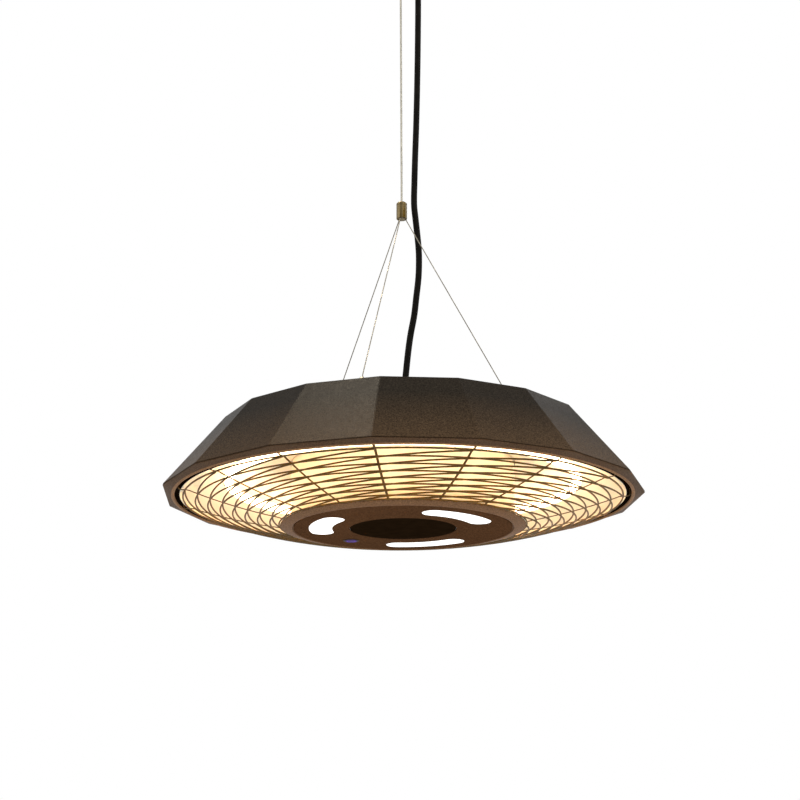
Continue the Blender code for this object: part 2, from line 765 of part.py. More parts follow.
def tangent_turn(loop_radius, leg_offset, loop_length):
    """Angle in degrees where a loop's straight legs leave its round end."""
    reach = math.hypot(leg_offset, loop_length)
    turn = math.atan2(-loop_length, leg_offset) + math.acos(loop_radius / reach)
    return math.degrees(turn)


def loop_course(loop_radius, leg_offset, loop_length, ferrule_length, away):
    """Points (across, along) of a wire from far away through a ferrule and round its loop.

    The loop's centre is (0, 0), its round end points to +along and the wire leaves to -along.
    """
    turn = tangent_turn(loop_radius, leg_offset, loop_length)
    ferrule_end = loop_length + ferrule_length
    course = [(0, -away), (0, -ferrule_end - RAMP_LENGTH)]
    course += [(leg_offset, -ferrule_end), (leg_offset, -loop_length)]
    course += arc((0, 0), loop_radius, turn, 180 - turn, LOOP_STEPS)
    course += [(-leg_offset, -loop_length)]
    course += [(-leg_offset, -loop_length - TAIL_SHARE * ferrule_length)]
    return course


def upper_wire():
    """Wire from the coupling up to its loop on the quick link."""
    away = HANG_DROP - UPPER_LOOP_DROP - STOP_BOTTOM_HEIGHT
    course = loop_course(
        UPPER_LOOP_RADIUS, UPPER_LEG_OFFSET, UPPER_LOOP_LENGTH, UPPER_FERRULE_LENGTH, away
    )
    points = [(across, 0, -UPPER_LOOP_DROP + along) for across, along in course]
    return wire("upper_wire", points, UPPER_WIRE_RADIUS, WIRE_STEEL)


def thimble():
    """Strip bent inside the upper wire's loop."""
    turn = tangent_turn(UPPER_LOOP_RADIUS, UPPER_LEG_OFFSET, UPPER_LOOP_LENGTH)
    leg = math.sqrt(
        UPPER_LEG_OFFSET**2 + UPPER_LOOP_LENGTH**2 - UPPER_LOOP_RADIUS**2
    )
    reach = leg * THIMBLE_LEG_SHARE
    angle = math.radians(turn)
    sides = []
    for radius in (THIMBLE_RADIUS + THIMBLE_WALL, THIMBLE_RADIUS):
        end = Vector((radius * math.cos(angle), radius * math.sin(angle)))
        end += Vector((math.sin(angle), -math.cos(angle))) * reach
        bend = arc((0, 0), radius, turn, 180 - turn, LOOP_STEPS)
        sides.append([tuple(end)] + bend + [(-end.x, end.y)])
    outline = sides[0] + sides[1][::-1]
    strip = prisms("thimble", [outline], -THIMBLE_WIDTH / 2, THIMBLE_WIDTH / 2, STEEL)
    strip.rotation_euler = (math.pi / 2, 0, 0)
    strip.location = (0, 0, -UPPER_LOOP_DROP)
    return strip


def ferrule(name, wire_radius, leg_offset, wall, length, finish):
    """Oval sleeve pressed over two legs of a wire, its lower end at the object's origin."""
    sleeve = prisms(name, [stadium(leg_offset, wire_radius + FIT + wall)], 0, length, finish)
    core = prisms(
        name + "_bore", [stadium(leg_offset, wire_radius + FIT)], -OVERRUN, length + OVERRUN, None
    )
    core.parent = sleeve
    return cut(sleeve, core)


def upper_ferrule():
    """Ferrule under the upper wire's loop."""
    sleeve = ferrule(
        "upper_ferrule",
        UPPER_WIRE_RADIUS,
        UPPER_LEG_OFFSET,
        UPPER_FERRULE_WALL,
        UPPER_FERRULE_LENGTH,
        WIRE_STEEL,
    )
    sleeve.location = (0, 0, -UPPER_LOOP_DROP - UPPER_LOOP_LENGTH - UPPER_FERRULE_LENGTH)
    return sleeve


def wire_stop():
    """Stop pressed on the upper wire's lower end, on which the coupling turns."""
    bore = UPPER_WIRE_RADIUS + FIT
    outline = (
        (bore, STOP_BOTTOM_HEIGHT),
        (STOP_RADIUS, STOP_BOTTOM_HEIGHT),
        (STOP_RADIUS, STOP_TOP_HEIGHT),
        (bore, STOP_TOP_HEIGHT),
    )
    stop = spun("wire_stop", outline, STEEL, SMALL_STEPS)
    stop.location = (0, 0, RIM_Z)
    return stop


def coupling_cap():
    """Screwed cap with a chamfered shoulder and a dimple round the wire."""
    bore = UPPER_WIRE_RADIUS + FIT
    plug_radius = COUPLING_BORE_RADIUS - FIT
    outline = (
        (bore, -CAP_PLUG),
        (plug_radius, -CAP_PLUG),
        (plug_radius, 0),
        (COUPLING_RADIUS, 0),
        (COUPLING_RADIUS, CAP_BAND),
        (CAP_SHOULDER_RADIUS, CAP_HEAD),
        (DIMPLE_RADIUS, CAP_HEAD),
        (bore, CAP_HEAD - DIMPLE_DEPTH),
    )
    cap = spun("coupling_cap", outline, ANTIQUE_BRASS, COUPLING_STEPS)
    cap.location = (0, 0, RIM_Z + CAP_BASE_HEIGHT)
    return cap


def coupling_body():
    """Cup that holds the stop, with three holes in its base for the lower wires."""
    outline = (
        (0, 0),
        (COUPLING_RADIUS - COUPLING_CHAMFER, 0),
        (COUPLING_RADIUS, COUPLING_CHAMFER),
        (COUPLING_RADIUS, COUPLING_BODY_LENGTH),
        (COUPLING_BORE_RADIUS, COUPLING_BODY_LENGTH),
        (COUPLING_BORE_RADIUS, COUPLING_BASE),
        (0, COUPLING_BASE),
    )
    body = spun("coupling_body", outline, ANTIQUE_BRASS, COUPLING_STEPS)
    bottom = RIM_Z + COUPLING_HEIGHT
    body.location = (0, 0, bottom)
    for number in range(WIRE_COUNT):
        x, y = on_circle(LOWER_WIRE_CIRCLE, FIRST_WIRE_DEG + number * 360 / WIRE_COUNT)
        hole = rod(
            "coupling_hole",
            (x, y, bottom - OVERRUN),
            (x, y, bottom + COUPLING_HOLE_DEPTH),
            LOWER_WIRE_RADIUS + FIT,
            None,
        )
        cut(body, hole)
    return body


def anchor_frame(number):
    """Anchor eye's centre, the wire's direction up from it, and the sideways direction there."""
    degrees = FIRST_WIRE_DEG + number * 360 / WIRE_COUNT
    x, y = on_circle(ANCHOR_CIRCLE_RADIUS, degrees)
    centre = Vector((x, y, RIM_Z + PLATE_TOP + ANCHOR_RISE))
    x, y = on_circle(LOWER_WIRE_CIRCLE, degrees)
    start = Vector((x, y, RIM_Z + COUPLING_HEIGHT))
    along = (start - centre).normalized()
    sideways = Vector((*on_circle(1, degrees + 90), 0))
    return centre, start, along, sideways


def lower_loop_centre(centre, along):
    """Centre of a lower wire's loop, which pulls on the eye's upper side."""
    pull = ANCHOR_WIRE_RADIUS + LOWER_WIRE_RADIUS + FIT
    return centre + along * (ANCHOR_EYE_RADIUS - pull + LOWER_LOOP_RADIUS)


def lower_wire(number):
    """Wire from the coupling's base to its loop on an anchor eye."""
    centre, start, along, sideways = anchor_frame(number)
    loop = lower_loop_centre(centre, along)
    away = (start - loop).length
    course = loop_course(
        LOWER_LOOP_RADIUS, LOWER_LEG_OFFSET, LOWER_LOOP_LENGTH, LOWER_FERRULE_LENGTH, away
    )
    points = [start + Vector((0, 0, COUPLING_HOLE_DEPTH - FIT))]
    points += [loop + sideways * across - along * height for across, height in course]
    return wire("lower_wire_%d" % (number + 1), points, LOWER_WIRE_RADIUS, WIRE_STEEL)


def wire_ferrule(number):
    """Ferrule over a lower wire's two legs."""
    centre, _, along, sideways = anchor_frame(number)
    sleeve = ferrule(
        "wire_ferrule_%d" % (number + 1),
        LOWER_WIRE_RADIUS,
        LOWER_LEG_OFFSET,
        LOWER_FERRULE_WALL,
        LOWER_FERRULE_LENGTH,
        WIRE_STEEL,
    )
    place = lower_loop_centre(centre, along) + along * LOWER_LOOP_LENGTH
    frame = Matrix((sideways, along.cross(sideways), along)).transposed().to_4x4()
    sleeve.matrix_world = Matrix.Translation(place) @ frame
    return sleeve


def anchor_eye(number):
    """Eye bolt through the top plate, its ring in the wire's upright plane."""
    centre, _, _, sideways = anchor_frame(number)
    eye = ring("anchor_eye_%d" % (number + 1), ANCHOR_EYE_RADIUS, ANCHOR_WIRE_RADIUS, STEEL)
    eye.location = centre
    eye.rotation_euler = sideways.to_track_quat("Z", "Y").to_euler()
    plate_top = RIM_Z + PLATE_TOP
    flange_top = plate_top + FIT + ANCHOR_FLANGE
    nut_bottom = RIM_Z + PLATE_BOTTOM - FIT - ANCHOR_NUT_HEIGHT
    x, y = centre.xy
    shank_top = centre.z - ANCHOR_EYE_RADIUS
    shank = rod(
        "anchor_shank", (x, y, nut_bottom - ANCHOR_END), (x, y, shank_top), ANCHOR_SHANK_RADIUS, None
    )
    flange = rod(
        "anchor_flange", (x, y, plate_top + FIT), (x, y, flange_top), ANCHOR_FLANGE_RADIUS, None
    )
    fused(eye, shank)
    return fused(eye, flange)


def anchor_nut(number):
    """Nut under the top plate."""
    centre, _, _, _ = anchor_frame(number)
    place = (centre.x, centre.y, RIM_Z + PLATE_BOTTOM - FIT - ANCHOR_NUT_HEIGHT)
    return hex_nut(
        "anchor_nut_%d" % (number + 1),
        ANCHOR_NUT_RADIUS,
        ANCHOR_SHANK_RADIUS + FIT,
        ANCHOR_NUT_HEIGHT,
        place,
        STEEL,
    )


def top_plate():
    """Plate under the shade's top flange, with vents and holes for the gland and the anchors."""
    corner = shade_inner_radius(PLATE_TOP) - FIT / FLAT_SHARE
    outline = ((0, PLATE_BOTTOM), (corner, PLATE_BOTTOM), (corner, PLATE_TOP), (0, PLATE_TOP))
    plate = spun("top_plate", outline, POWDER_COAT, SIDES, FIRST_CORNER, FACET_DEG)
    plate.location = (0, 0, RIM_Z)
    low = RIM_Z + PLATE_BOTTOM
    high = RIM_Z + PLATE_TOP
    drilled(plate, (0, 0, low), (0, 0, high), GLAND_THREAD_RADIUS + FIT)
    for number in range(WIRE_COUNT):
        x, y = anchor_frame(number)[0].xy
        drilled(plate, (x, y, low), (x, y, high), ANCHOR_SHANK_RADIUS + FIT)
    slots = []
    for vent in range(VENT_COUNT):
        turn = Matrix.Rotation(math.radians(FIRST_VENT_DEG + vent * 360 / VENT_COUNT), 2)
        slot = []
        for x, y in stadium((VENT_LENGTH - VENT_WIDTH) / 2, VENT_WIDTH / 2, VENT_STEPS):
            slot.append(turn @ Vector((x + VENT_CIRCLE_RADIUS, y)))
        slots.append(slot)
    cutter = prisms("plate_vents", slots, PLATE_BOTTOM - OVERRUN, PLATE_TOP + OVERRUN, None)
    cutter.location = plate.location
    return cut(plate, cutter)


def shade_shell():
    """Faceted shade with a flange turned in at the top and at the bottom."""
    foot = (COLLAR_RADIUS + FIT) / FLAT_SHARE
    ceiling = SHADE_HEIGHT - SHADE_FLANGE
    outline = (
        (SHADE_RADIUS, 0),
        (SHADE_TOP_RADIUS, SHADE_HEIGHT),
        (SHADE_TOP_RADIUS - SHADE_TOP_FLANGE_WIDTH, SHADE_HEIGHT),
        (SHADE_TOP_RADIUS - SHADE_TOP_FLANGE_WIDTH, ceiling),
        (shade_inner_radius(ceiling), ceiling),
        (shade_inner_radius(SHADE_FLANGE), SHADE_FLANGE),
        (foot, SHADE_FLANGE),
        (foot, 0),
    )
    shade = spun("shade_shell", outline, POWDER_COAT, SIDES, FIRST_CORNER, FACET_DEG)
    shade.location = (0, 0, RIM_Z)
    return shade


def polygon_radius(corner_radius, angle):
    """Radius of the shade's polygon at an angle from its first corner."""
    side = math.tau / SIDES
    return corner_radius * FLAT_SHARE / math.cos(angle % side - side / 2)


def bezel_ring():
    """Ring that is faceted outside and round inside, with a rounded lip and a collar."""
    deep = -BEZEL_DEPTH
    lip = LIP_BORE_RADIUS + LIP_WIDTH
    outline = (
        ("faceted", SHADE_RADIUS, -SEAM),
        ("faceted", SHADE_RADIUS, -SEAM - BEZEL_EDGE),
        ("round", lip, deep + LIP_ROUNDING / 2),
        ("round", lip - LIP_ROUNDING, deep),
        ("round", LIP_BORE_RADIUS + LIP_ROUNDING, deep),
        ("round", LIP_BORE_RADIUS, deep + LIP_ROUNDING),
        ("round", LIP_BORE_RADIUS, COLLAR_HEIGHT),
        ("round", COLLAR_RADIUS, COLLAR_HEIGHT),
        ("round", COLLAR_RADIUS, -SEAM),
    )
    build = bmesh.new()
    loops = []
    for kind, radius, z in outline:
        loop = []
        for step in range(BEZEL_STEPS):
            angle = math.tau * step / BEZEL_STEPS
            reach = polygon_radius(radius, angle) if kind == "faceted" else radius
            x = reach * math.cos(angle + FIRST_CORNER)
            y = reach * math.sin(angle + FIRST_CORNER)
            loop.append(build.verts.new((x, y, z)))
        loops.append(loop)
    for near, far in zip(loops, loops[1:] + loops[:1]):
        for step in range(BEZEL_STEPS):
            build.faces.new((near[step - 1], near[step], far[step], far[step - 1]))
    bezel = from_bmesh("bezel_ring", build, WARM_COAT, FACET_DEG)
    bezel.location = (0, 0, RIM_Z)
    return bezel


def reflector_points(lift=0.0):
    """Points of the dish from its rim to the housing, raised by lift."""
    width = REFLECTOR_RADIUS - DISH_INNER_RADIUS
    points = []
    for inward_share, rise_share in REFLECTOR_SHARES:
        radius = REFLECTOR_RADIUS - inward_share * width
        points.append((radius, -REFLECTOR_RIM_DROP + rise_share * REFLECTOR_DEPTH + lift))
    return points


def reflector_height(radius):
    """Height of the dish's lower face at a radius."""
    points = reflector_points()
    for outer, inner in zip(points, points[1:]):
        if inner[0] <= radius <= outer[0]:
            share = (outer[0] - radius) / (outer[0] - inner[0])
            return outer[1] + share * (inner[1] - outer[1])
    return points[-1][1]


def tube_height():
    """Height of the heating tube's middle, a fixed gap under the dish."""
    return reflector_height(TUBE_CIRCLE_RADIUS) - TUBE_DISH_GAP


def height_under_dish(radius, half_width):
    """Height that a piece may reach under the faceted dish at this radius, over this half width."""
    reach = math.hypot(radius, half_width) / math.cos(math.pi / ROUND_STEPS)
    return reflector_height(reach) - FIT


def rim_flange_radius():
    """Outer radius of the flanges that lie on the collar, inside the shade."""
    top = SHIELD_FLANGE_HEIGHT + SHIELD_WALL
    return shade_inner_radius(top) * FLAT_SHARE - RIM_CLEARANCE


def reflector():
    """Dish with a skirt and a flange that lies on the bezel's collar."""
    flange = rim_flange_radius()
    flange_top = REFLECTOR_FLANGE_HEIGHT + REFLECTOR_WALL
    skirt_inner = SKIRT_RADIUS - REFLECTOR_WALL
    outline = reflector_points()[::-1]
    outline += [(SKIRT_RADIUS, -REFLECTOR_RIM_DROP), (SKIRT_RADIUS, REFLECTOR_FLANGE_HEIGHT)]
    outline += [(flange, REFLECTOR_FLANGE_HEIGHT), (flange, flange_top), (skirt_inner, flange_top)]
    outline += [(skirt_inner, -REFLECTOR_RIM_DROP + REFLECTOR_WALL)]
    outline += reflector_points(REFLECTOR_WALL)[1:]
    dish = spun("reflector", outline, REFLECTOR_METAL)
    dish.location = (0, 0, RIM_Z)
    return dish


def heat_shield():
    """Pan above the reflector, with holes for the leads and the posts."""
    flange = rim_flange_radius()
    low = SHIELD_FLANGE_HEIGHT
    top = SHIELD_TOP_HEIGHT
    outline = (
        (flange, low),
        (flange, low + SHIELD_WALL),
        (COLLAR_RADIUS, low + SHIELD_WALL),
        (SHIELD_TOP_RADIUS, top),
        (SHIELD_HOLE_RADIUS, top),
        (SHIELD_HOLE_RADIUS, top - SHIELD_WALL),
        (SHIELD_TOP_RADIUS - SHIELD_WALL, top - SHIELD_WALL),
        (COLLAR_RADIUS - SHIELD_WALL, low),
    )
    shield = spun("heat_shield", outline, STEEL, PLAIN_STEPS)
    shield.location = (0, 0, RIM_Z)
    for x, y in post_places():
        drilled(
            shield,
            (x, y, RIM_Z + top - SHIELD_WALL),
            (x, y, RIM_Z + top),
            POST_RADIUS + FIT,
        )
    return shield


def post_places():
    """Centres (x, y) of the posts, above the lenses."""
    return [
        on_circle(POST_CIRCLE_RADIUS, FIRST_LENS_DEG + number * 360 / WIRE_COUNT)
        for number in range(WIRE_COUNT)
    ]


def support_post(number):
    """Tube between the lamp housing and the top plate."""
    low = HOUSING_TOP_HEIGHT + FIT
    high = PLATE_BOTTOM - FIT
    outline = ((POST_BORE_RADIUS, low), (POST_RADIUS, low), (POST_RADIUS, high), (POST_BORE_RADIUS, high))
    post = spun("support_post_%d" % (number + 1), outline, STEEL, SMALL_STEPS)
    post.location = (*post_places()[number], RIM_Z)
    return post


def terminal_block():
    """Terminal block on the heat shield."""
    x, y = on_circle(TERMINAL_CIRCLE_RADIUS, BUTTON_DEG)
    z = RIM_Z + SHIELD_TOP_HEIGHT + FIT + TERMINAL_HEIGHT / 2
    turn = math.radians(BUTTON_DEG + 90)
    return grooved_block(
        "terminal_block", TERMINAL_LENGTH, TERMINAL_WIDTH, TERMINAL_HEIGHT, (x, y, z), turn
    )


def heating_tube():
    """Lamp tube bent to an open ring."""
    end = TUBE_START_DEG + TUBE_POINTS * TUBE_STEP_DEG
    places = arc((0, 0), TUBE_CIRCLE_RADIUS, TUBE_START_DEG, end, TUBE_POINTS)
    points = [(x, y, RIM_Z + tube_height()) for x, y in places]
    return wire("heating_tube", points, TUBE_RADIUS, LAMP_GLASS)


def tube_end(number, side):
    """Ceramic block on one end of the tube, up to the reflector."""
    top = height_under_dish(TUBE_CIRCLE_RADIUS + END_WIDTH / 2, END_LENGTH)
    bottom = tube_height() - END_WIDTH / 2
    angle = TUBE_GAP_DEG + side * TUBE_GAP_HALF_ANGLE_DEG
    x, y = on_circle(TUBE_CIRCLE_RADIUS, angle)
    inward = (END_HOLE_DEPTH - END_LENGTH / 2) * side
    block = box(
        "tube_end_%d" % number,
        (END_WIDTH, END_LENGTH, top - bottom),
        (x, y, RIM_Z + (top + bottom) / 2),
        CERAMIC,
    )
    turn = angle + side * TUBE_STEP_DEG / 2
    tangent = Vector((*on_circle(1, turn + 90), 0))
    block.location = block.location + tangent * inward
    block.rotation_euler = (0, 0, math.radians(turn))
    mouth = Vector((x, y, RIM_Z + tube_height())) + tangent * side * (END_HOLE_DEPTH + OVERRUN)
    hole_end = Vector((x, y, RIM_Z + tube_height())) - tangent * side * END_SLACK
    hole = rod("tube_end_hole", hole_end, mouth, TUBE_RADIUS + END_SLACK, None)
    return cut(block, hole)


def tube_clip(number, degrees):
    """Spring clip round the tube on a leg from the reflector."""
    inner = TUBE_RADIUS + CLIP_SLACK
    outer = inner + CLIP_THICKNESS
    mouth = CLIP_MOUTH_HALF_ANGLE_DEG
    half_leg = CLIP_THICKNESS / 2
    shoulder = math.degrees(math.acos(half_leg / outer))
    top = height_under_dish(TUBE_CIRCLE_RADIUS + half_leg, CLIP_WIDTH / 2) - tube_height()
    outline = arc((0, 0), outer, mouth - 90, shoulder, CLIP_STEPS)
    outline += [(half_leg, top), (-half_leg, top)]
    outline += arc((0, 0), outer, 180 - shoulder, 270 - mouth, CLIP_STEPS)
    outline += arc((0, 0), inner, 270 - mouth, mouth - 90, CLIP_STEPS)
    clip = prisms("tube_clip_%d" % number, [outline], -CLIP_WIDTH / 2, CLIP_WIDTH / 2, STEEL)
    clip.location = (*on_circle(TUBE_CIRCLE_RADIUS, degrees), RIM_Z + tube_height())
    clip.rotation_euler = (math.pi / 2, 0, math.radians(degrees))
    return clip


def guard_height(radius):
    """Height of the guard's wires, falling towards the hub."""
    share = (OUTER_RING_RADIUS - radius) / (OUTER_RING_RADIUS - HUB_RADIUS)
    fall = (1 + GUARD_BULGE_SHARE) * share - GUARD_BULGE_SHARE * share**2
    return -GUARD_RIM_DROP - GUARD_DEPTH * fall


def guard_vertex(build, place):
    """A vertex of the guard above the point (x, y)."""
    return build.verts.new((place.x, place.y, guard_height(place.length)))


def polar(radius, angle):
    """The point (x, y) at this radius and angle in radians."""
    return Vector((radius * math.cos(angle), radius * math.sin(angle)))


def guard_knot(build, number, spoke):
    """The face where wires cross, and the right and left corner of each wire that leaves it."""
    radius = OUTER_RING_RADIUS - RING_PITCH * number
    angle = FIRST_CORNER + spoke * math.tau / SIDES
    slope = math.atan2(RING_PITCH, radius * math.tau / SIDES)
    turns = {
        "out": 0,
        "rise": math.pi / 2 - slope,
        "along": math.pi / 2,
        "in": math.pi,
        "fall": math.pi * 3 / 2 - slope,
        "back": math.pi * 3 / 2,
    }
    if number == 0:
        del turns["rise"]
    if number == RING_COUNT - 1:
        del turns["fall"]
    ways = list(turns)
    corners = []
    for way, following in zip(ways, ways[1:] + ways[:1]):
        one = polar(1, angle + turns[way])
        two = polar(1, angle + turns[following])
        reach = one * guard_half_width(following) + two * guard_half_width(way)
        sine = one.x * two.y - one.y * two.x
        corners.append(guard_vertex(build, polar(radius, angle) + reach / sine))
    build.faces.new(corners)
    return {way: (corners[index - 1], corners[index]) for index, way in enumerate(ways)}


def guard_half_width(way):
    """Half the width of the wire that leaves a knot this way."""
    return GUARD_SPOKE / 2 if way in ("out", "in") else GUARD_WIRE / 2


def guard_strip(build, near, far, middles=()):
    """Faces of a wire between two knots, through pairs of middle vertices."""
    pairs = [near, *middles, (far[1], far[0])]
    for (right, left), (next_right, next_left) in zip(pairs, pairs[1:]):
        build.faces.new((right, next_right, next_left, left))


def guard_middles(build, spoke, start_radius, end_radius):
    """Pairs of vertices along a ring or spiral between a spoke and the next one."""
    sector = math.tau / SIDES
    pairs = []
    for step in range(1, GUARD_ARC_STEPS):
        share = step / GUARD_ARC_STEPS
        radius = start_radius + (end_radius - start_radius) * share
        angle = FIRST_CORNER + (spoke + share) * sector
        right = guard_vertex(build, polar(radius + GUARD_WIRE / 2, angle))
        left = guard_vertex(build, polar(radius - GUARD_WIRE / 2, angle))
        pairs.append((right, left))
    return pairs


def guard_tail(build, spoke, start, places):
    """A spoke's free end through (radius, height) places."""
    angle = FIRST_CORNER + spoke * math.tau / SIDES
    sideways = polar(GUARD_SPOKE / 2, angle + math.pi / 2)
    pairs = [start]
    for radius, height in places:
        middle = polar(radius, angle)
        inward = radius < HUB_RADIUS
        right = middle + sideways if inward else middle - sideways
        left = middle - sideways if inward else middle + sideways
        pairs.append((build.verts.new((*right, height)), build.verts.new((*left, height))))
    for (right, left), (next_right, next_left) in zip(pairs, pairs[1:]):
        build.faces.new((right, next_right, next_left, left))


def guard():
    """Welded wire guard as one net of strips, with a thickness: rings, spokes and spirals."""
    build = bmesh.new()
    knots = {}
    for number in range(RING_COUNT):
        for spoke in range(SIDES):
            knots[number, spoke] = guard_knot(build, number, spoke)
    hook_radius = (SKIRT_RADIUS + LIP_BORE_RADIUS) / 2
    hook_low = -REFLECTOR_RIM_DROP - FIT - GUARD_WIRE / 2
    hook = (
        (hook_radius - GUARD_WIRE / 2, hook_low - FIT),
        (hook_radius, hook_low + GUARD_WIRE / 2),
        (hook_radius, COLLAR_HEIGHT - FIT),
    )
    inner_radius = HOUSING_RADIUS + RIM_CLEARANCE
    for (number, spoke), knot in knots.items():
        onward = (spoke + 1) % SIDES
        radius = OUTER_RING_RADIUS - RING_PITCH * number
        ring_way = guard_middles(build, spoke, radius, radius)
        guard_strip(build, knot["along"], knots[number, onward]["back"], ring_way)
        if number == 0:
            guard_tail(build, spoke, knot["out"], hook)
        else:
            spiral_way = guard_middles(build, spoke, radius, radius + RING_PITCH)
            guard_strip(build, knot["rise"], knots[number - 1, onward]["fall"], spiral_way)
            guard_strip(build, knots[number - 1, spoke]["in"], knot["out"])
        if number == RING_COUNT - 1:
            ends = ((HUB_RADIUS - FIT, guard_height(HUB_RADIUS)), (inner_radius, guard_height(HUB_RADIUS)))
            guard_tail(build, spoke, knot["in"], ends)
    net = from_bmesh("grille", build, GUARD_METAL, WIRE_SMOOTH_DEG)
    net.location = (0, 0, RIM_Z)
    thick = net.modifiers.new("wire_thickness", "SOLIDIFY")
    thick.thickness = GUARD_WIRE
    thick.offset = 0
    thick.use_even_offset = True
    return net


def lamp_housing():
    """Can of the lamp unit, open below, with a hole in its roof for the leads."""
    top = HOUSING_TOP_HEIGHT
    bottom = HUB_TOP + FIT
    bore = HOUSING_RADIUS - HOUSING_WALL
    outline = (
        (HOUSING_RADIUS, bottom),
        (HOUSING_RADIUS, top),
        (HOUSING_HOLE_RADIUS, top),
        (HOUSING_HOLE_RADIUS, top - HOUSING_WALL),
        (bore, top - HOUSING_WALL),
        (bore, bottom),
    )
    housing = spun("lamp_housing", outline, REFLECTOR_METAL, PLAIN_STEPS)
    housing.location = (0, 0, RIM_Z)
    return housing


def disc_bezel():
    """Cone-faced ring round the face plate, with a ledge behind the plate."""
    ledge = HUB_FACE_RADIUS - HUB_LEDGE_WIDTH
    outline = (
        (HUB_RADIUS, HUB_TOP),
        (HUB_RADIUS, -HUB_EDGE_DROP),
        (HUB_FACE_RADIUS + HUB_LIP_WIDTH, -HUB_FACE_DROP),
        (HUB_FACE_RADIUS, -HUB_FACE_DROP + HUB_LIP_DROP),
        (HUB_FACE_RADIUS, FACE_TOP + FIT),
        (ledge, FACE_TOP + FIT),
        (ledge, HUB_TOP),
    )
    bezel = spun("disc_bezel", outline, WARM_COAT)
    bezel.location = (0, 0, RIM_Z)
    return bezel


def lens_outline(half_width):
    """Curved slot with round ends about the X axis, in the middle of its circle."""
    circle = LENS_CIRCLE_RADIUS
    half = LENS_HALF_ANGLE_DEG
    outline = arc((0, 0), circle + half_width, -half, half, LENS_SIDE_STEPS)
    outline += arc(on_circle(circle, half), half_width, half, half + 180, LENS_END_STEPS)[1:]
    outline += arc((0, 0), circle - half_width, half, -half, LENS_SIDE_STEPS)[1:]
    outline += arc(on_circle(circle, -half), half_width, 180 - half, 360 - half, LENS_END_STEPS)[1:-1]
    return outline


def face_plate():
    """Round plate with openings for the lenses, the cap and the button."""
    outline = (
        (CAP_RADIUS + FIT, FACE_BOTTOM),
        (HUB_FACE_RADIUS - FIT, FACE_BOTTOM),
        (HUB_FACE_RADIUS - FIT, FACE_TOP),
        (CAP_RADIUS + FIT, FACE_TOP),
    )
    plate = spun("face_plate", outline, WARM_COAT)
    plate.location = (0, 0, RIM_Z)
    for number in range(WIRE_COUNT):
        slot = prisms(
            "lens_slot",
            [lens_outline(LENS_HALF_WIDTH + FIT)],
            RIM_Z + FACE_BOTTOM - OVERRUN,
            RIM_Z + FACE_TOP + OVERRUN,
            None,
        )
        slot.rotation_euler = (0, 0, math.radians(FIRST_LENS_DEG + number * 360 / WIRE_COUNT))
        cut(plate, slot)
    x, y = on_circle(BUTTON_CIRCLE_RADIUS, BUTTON_DEG)
    sleeve = BUTTON_RADIUS + FIT + SLEEVE_WALL
    return drilled(plate, (x, y, RIM_Z + FACE_BOTTOM), (x, y, RIM_Z + FACE_TOP), sleeve + FIT)


def centre_cap():
    """Dark cap in the middle of the face plate."""
    bottom = FACE_BOTTOM + CAP_RECESS
    cap = spun(
        "centre_cap",
        ((0, bottom), (CAP_RADIUS, bottom), (CAP_RADIUS, BOARD_BOTTOM - FIT), (0, BOARD_BOTTOM - FIT)),
        BLACK_PLASTIC,
    )
    cap.location = (0, 0, RIM_Z)
    return cap


def lens(number):
    """Curved white lens, a little proud of the face plate."""
    outline = lens_outline(LENS_HALF_WIDTH)
    bottom = FACE_BOTTOM - LENS_PROUD
    pane = prisms("lens_%d" % (number + 1), [outline], bottom, BOARD_BOTTOM - FIT, LENS_WHITE)
    pane.location = (0, 0, RIM_Z)
    pane.rotation_euler = (0, 0, math.radians(FIRST_LENS_DEG + number * 360 / WIRE_COUNT))
    return pane


def led_board():
    """Ring-shaped light board behind the lenses, with a hole for the switch."""
    outline = (
        (BOARD_INNER_RADIUS, BOARD_BOTTOM),
        (BOARD_OUTER_RADIUS, BOARD_BOTTOM),
        (BOARD_OUTER_RADIUS, BOARD_TOP),
        (BOARD_INNER_RADIUS, BOARD_TOP),
    )
    board = spun("led_board", outline, BOARD_WHITE, PLAIN_STEPS)
    board.location = (0, 0, RIM_Z)
    x, y = on_circle(BUTTON_CIRCLE_RADIUS, BUTTON_DEG)
    return drilled(
        board, (x, y, RIM_Z + BOARD_BOTTOM), (x, y, RIM_Z + BOARD_TOP), SWITCH_HOLE_RADIUS
    )


def at_button(shape):
    """Puts a piece on the button's axis."""
    shape.location = (*on_circle(BUTTON_CIRCLE_RADIUS, BUTTON_DEG), RIM_Z)
    return shape


def button():
    """Round push button with a stem into the switch."""
    face = FACE_BOTTOM - BUTTON_PROUD
    stem_top = BUTTON_BACK + STEM_LENGTH
    outline = (
        (0, face),
        (BUTTON_RADIUS - BUTTON_ROUNDING, face),
        (BUTTON_RADIUS, face + BUTTON_ROUNDING),
        (BUTTON_RADIUS, BUTTON_BACK),
        (STEM_RADIUS, BUTTON_BACK),
        (STEM_RADIUS, stem_top),
        (0, stem_top),
    )
    return at_button(spun("button", outline, BUTTON_GLOW, SMALL_STEPS))


def button_bezel():
    """Flanged sleeve that guides the button in the face plate."""
    bore = BUTTON_RADIUS + FIT
    sleeve = bore + SLEEVE_WALL
    flange = sleeve + SLEEVE_FLANGE_WIDTH
    seat = FACE_BOTTOM - FIT
    outline = (
        (bore, seat - SLEEVE_FLANGE),
        (flange - SLEEVE_FLANGE / 2, seat - SLEEVE_FLANGE),
        (flange, seat - SLEEVE_FLANGE / 2),
        (flange, seat),
        (sleeve, seat),
        (sleeve, FACE_TOP),
        (bore, FACE_TOP),
    )
    return at_button(spun("button_bezel", outline, STEEL, SMALL_STEPS))


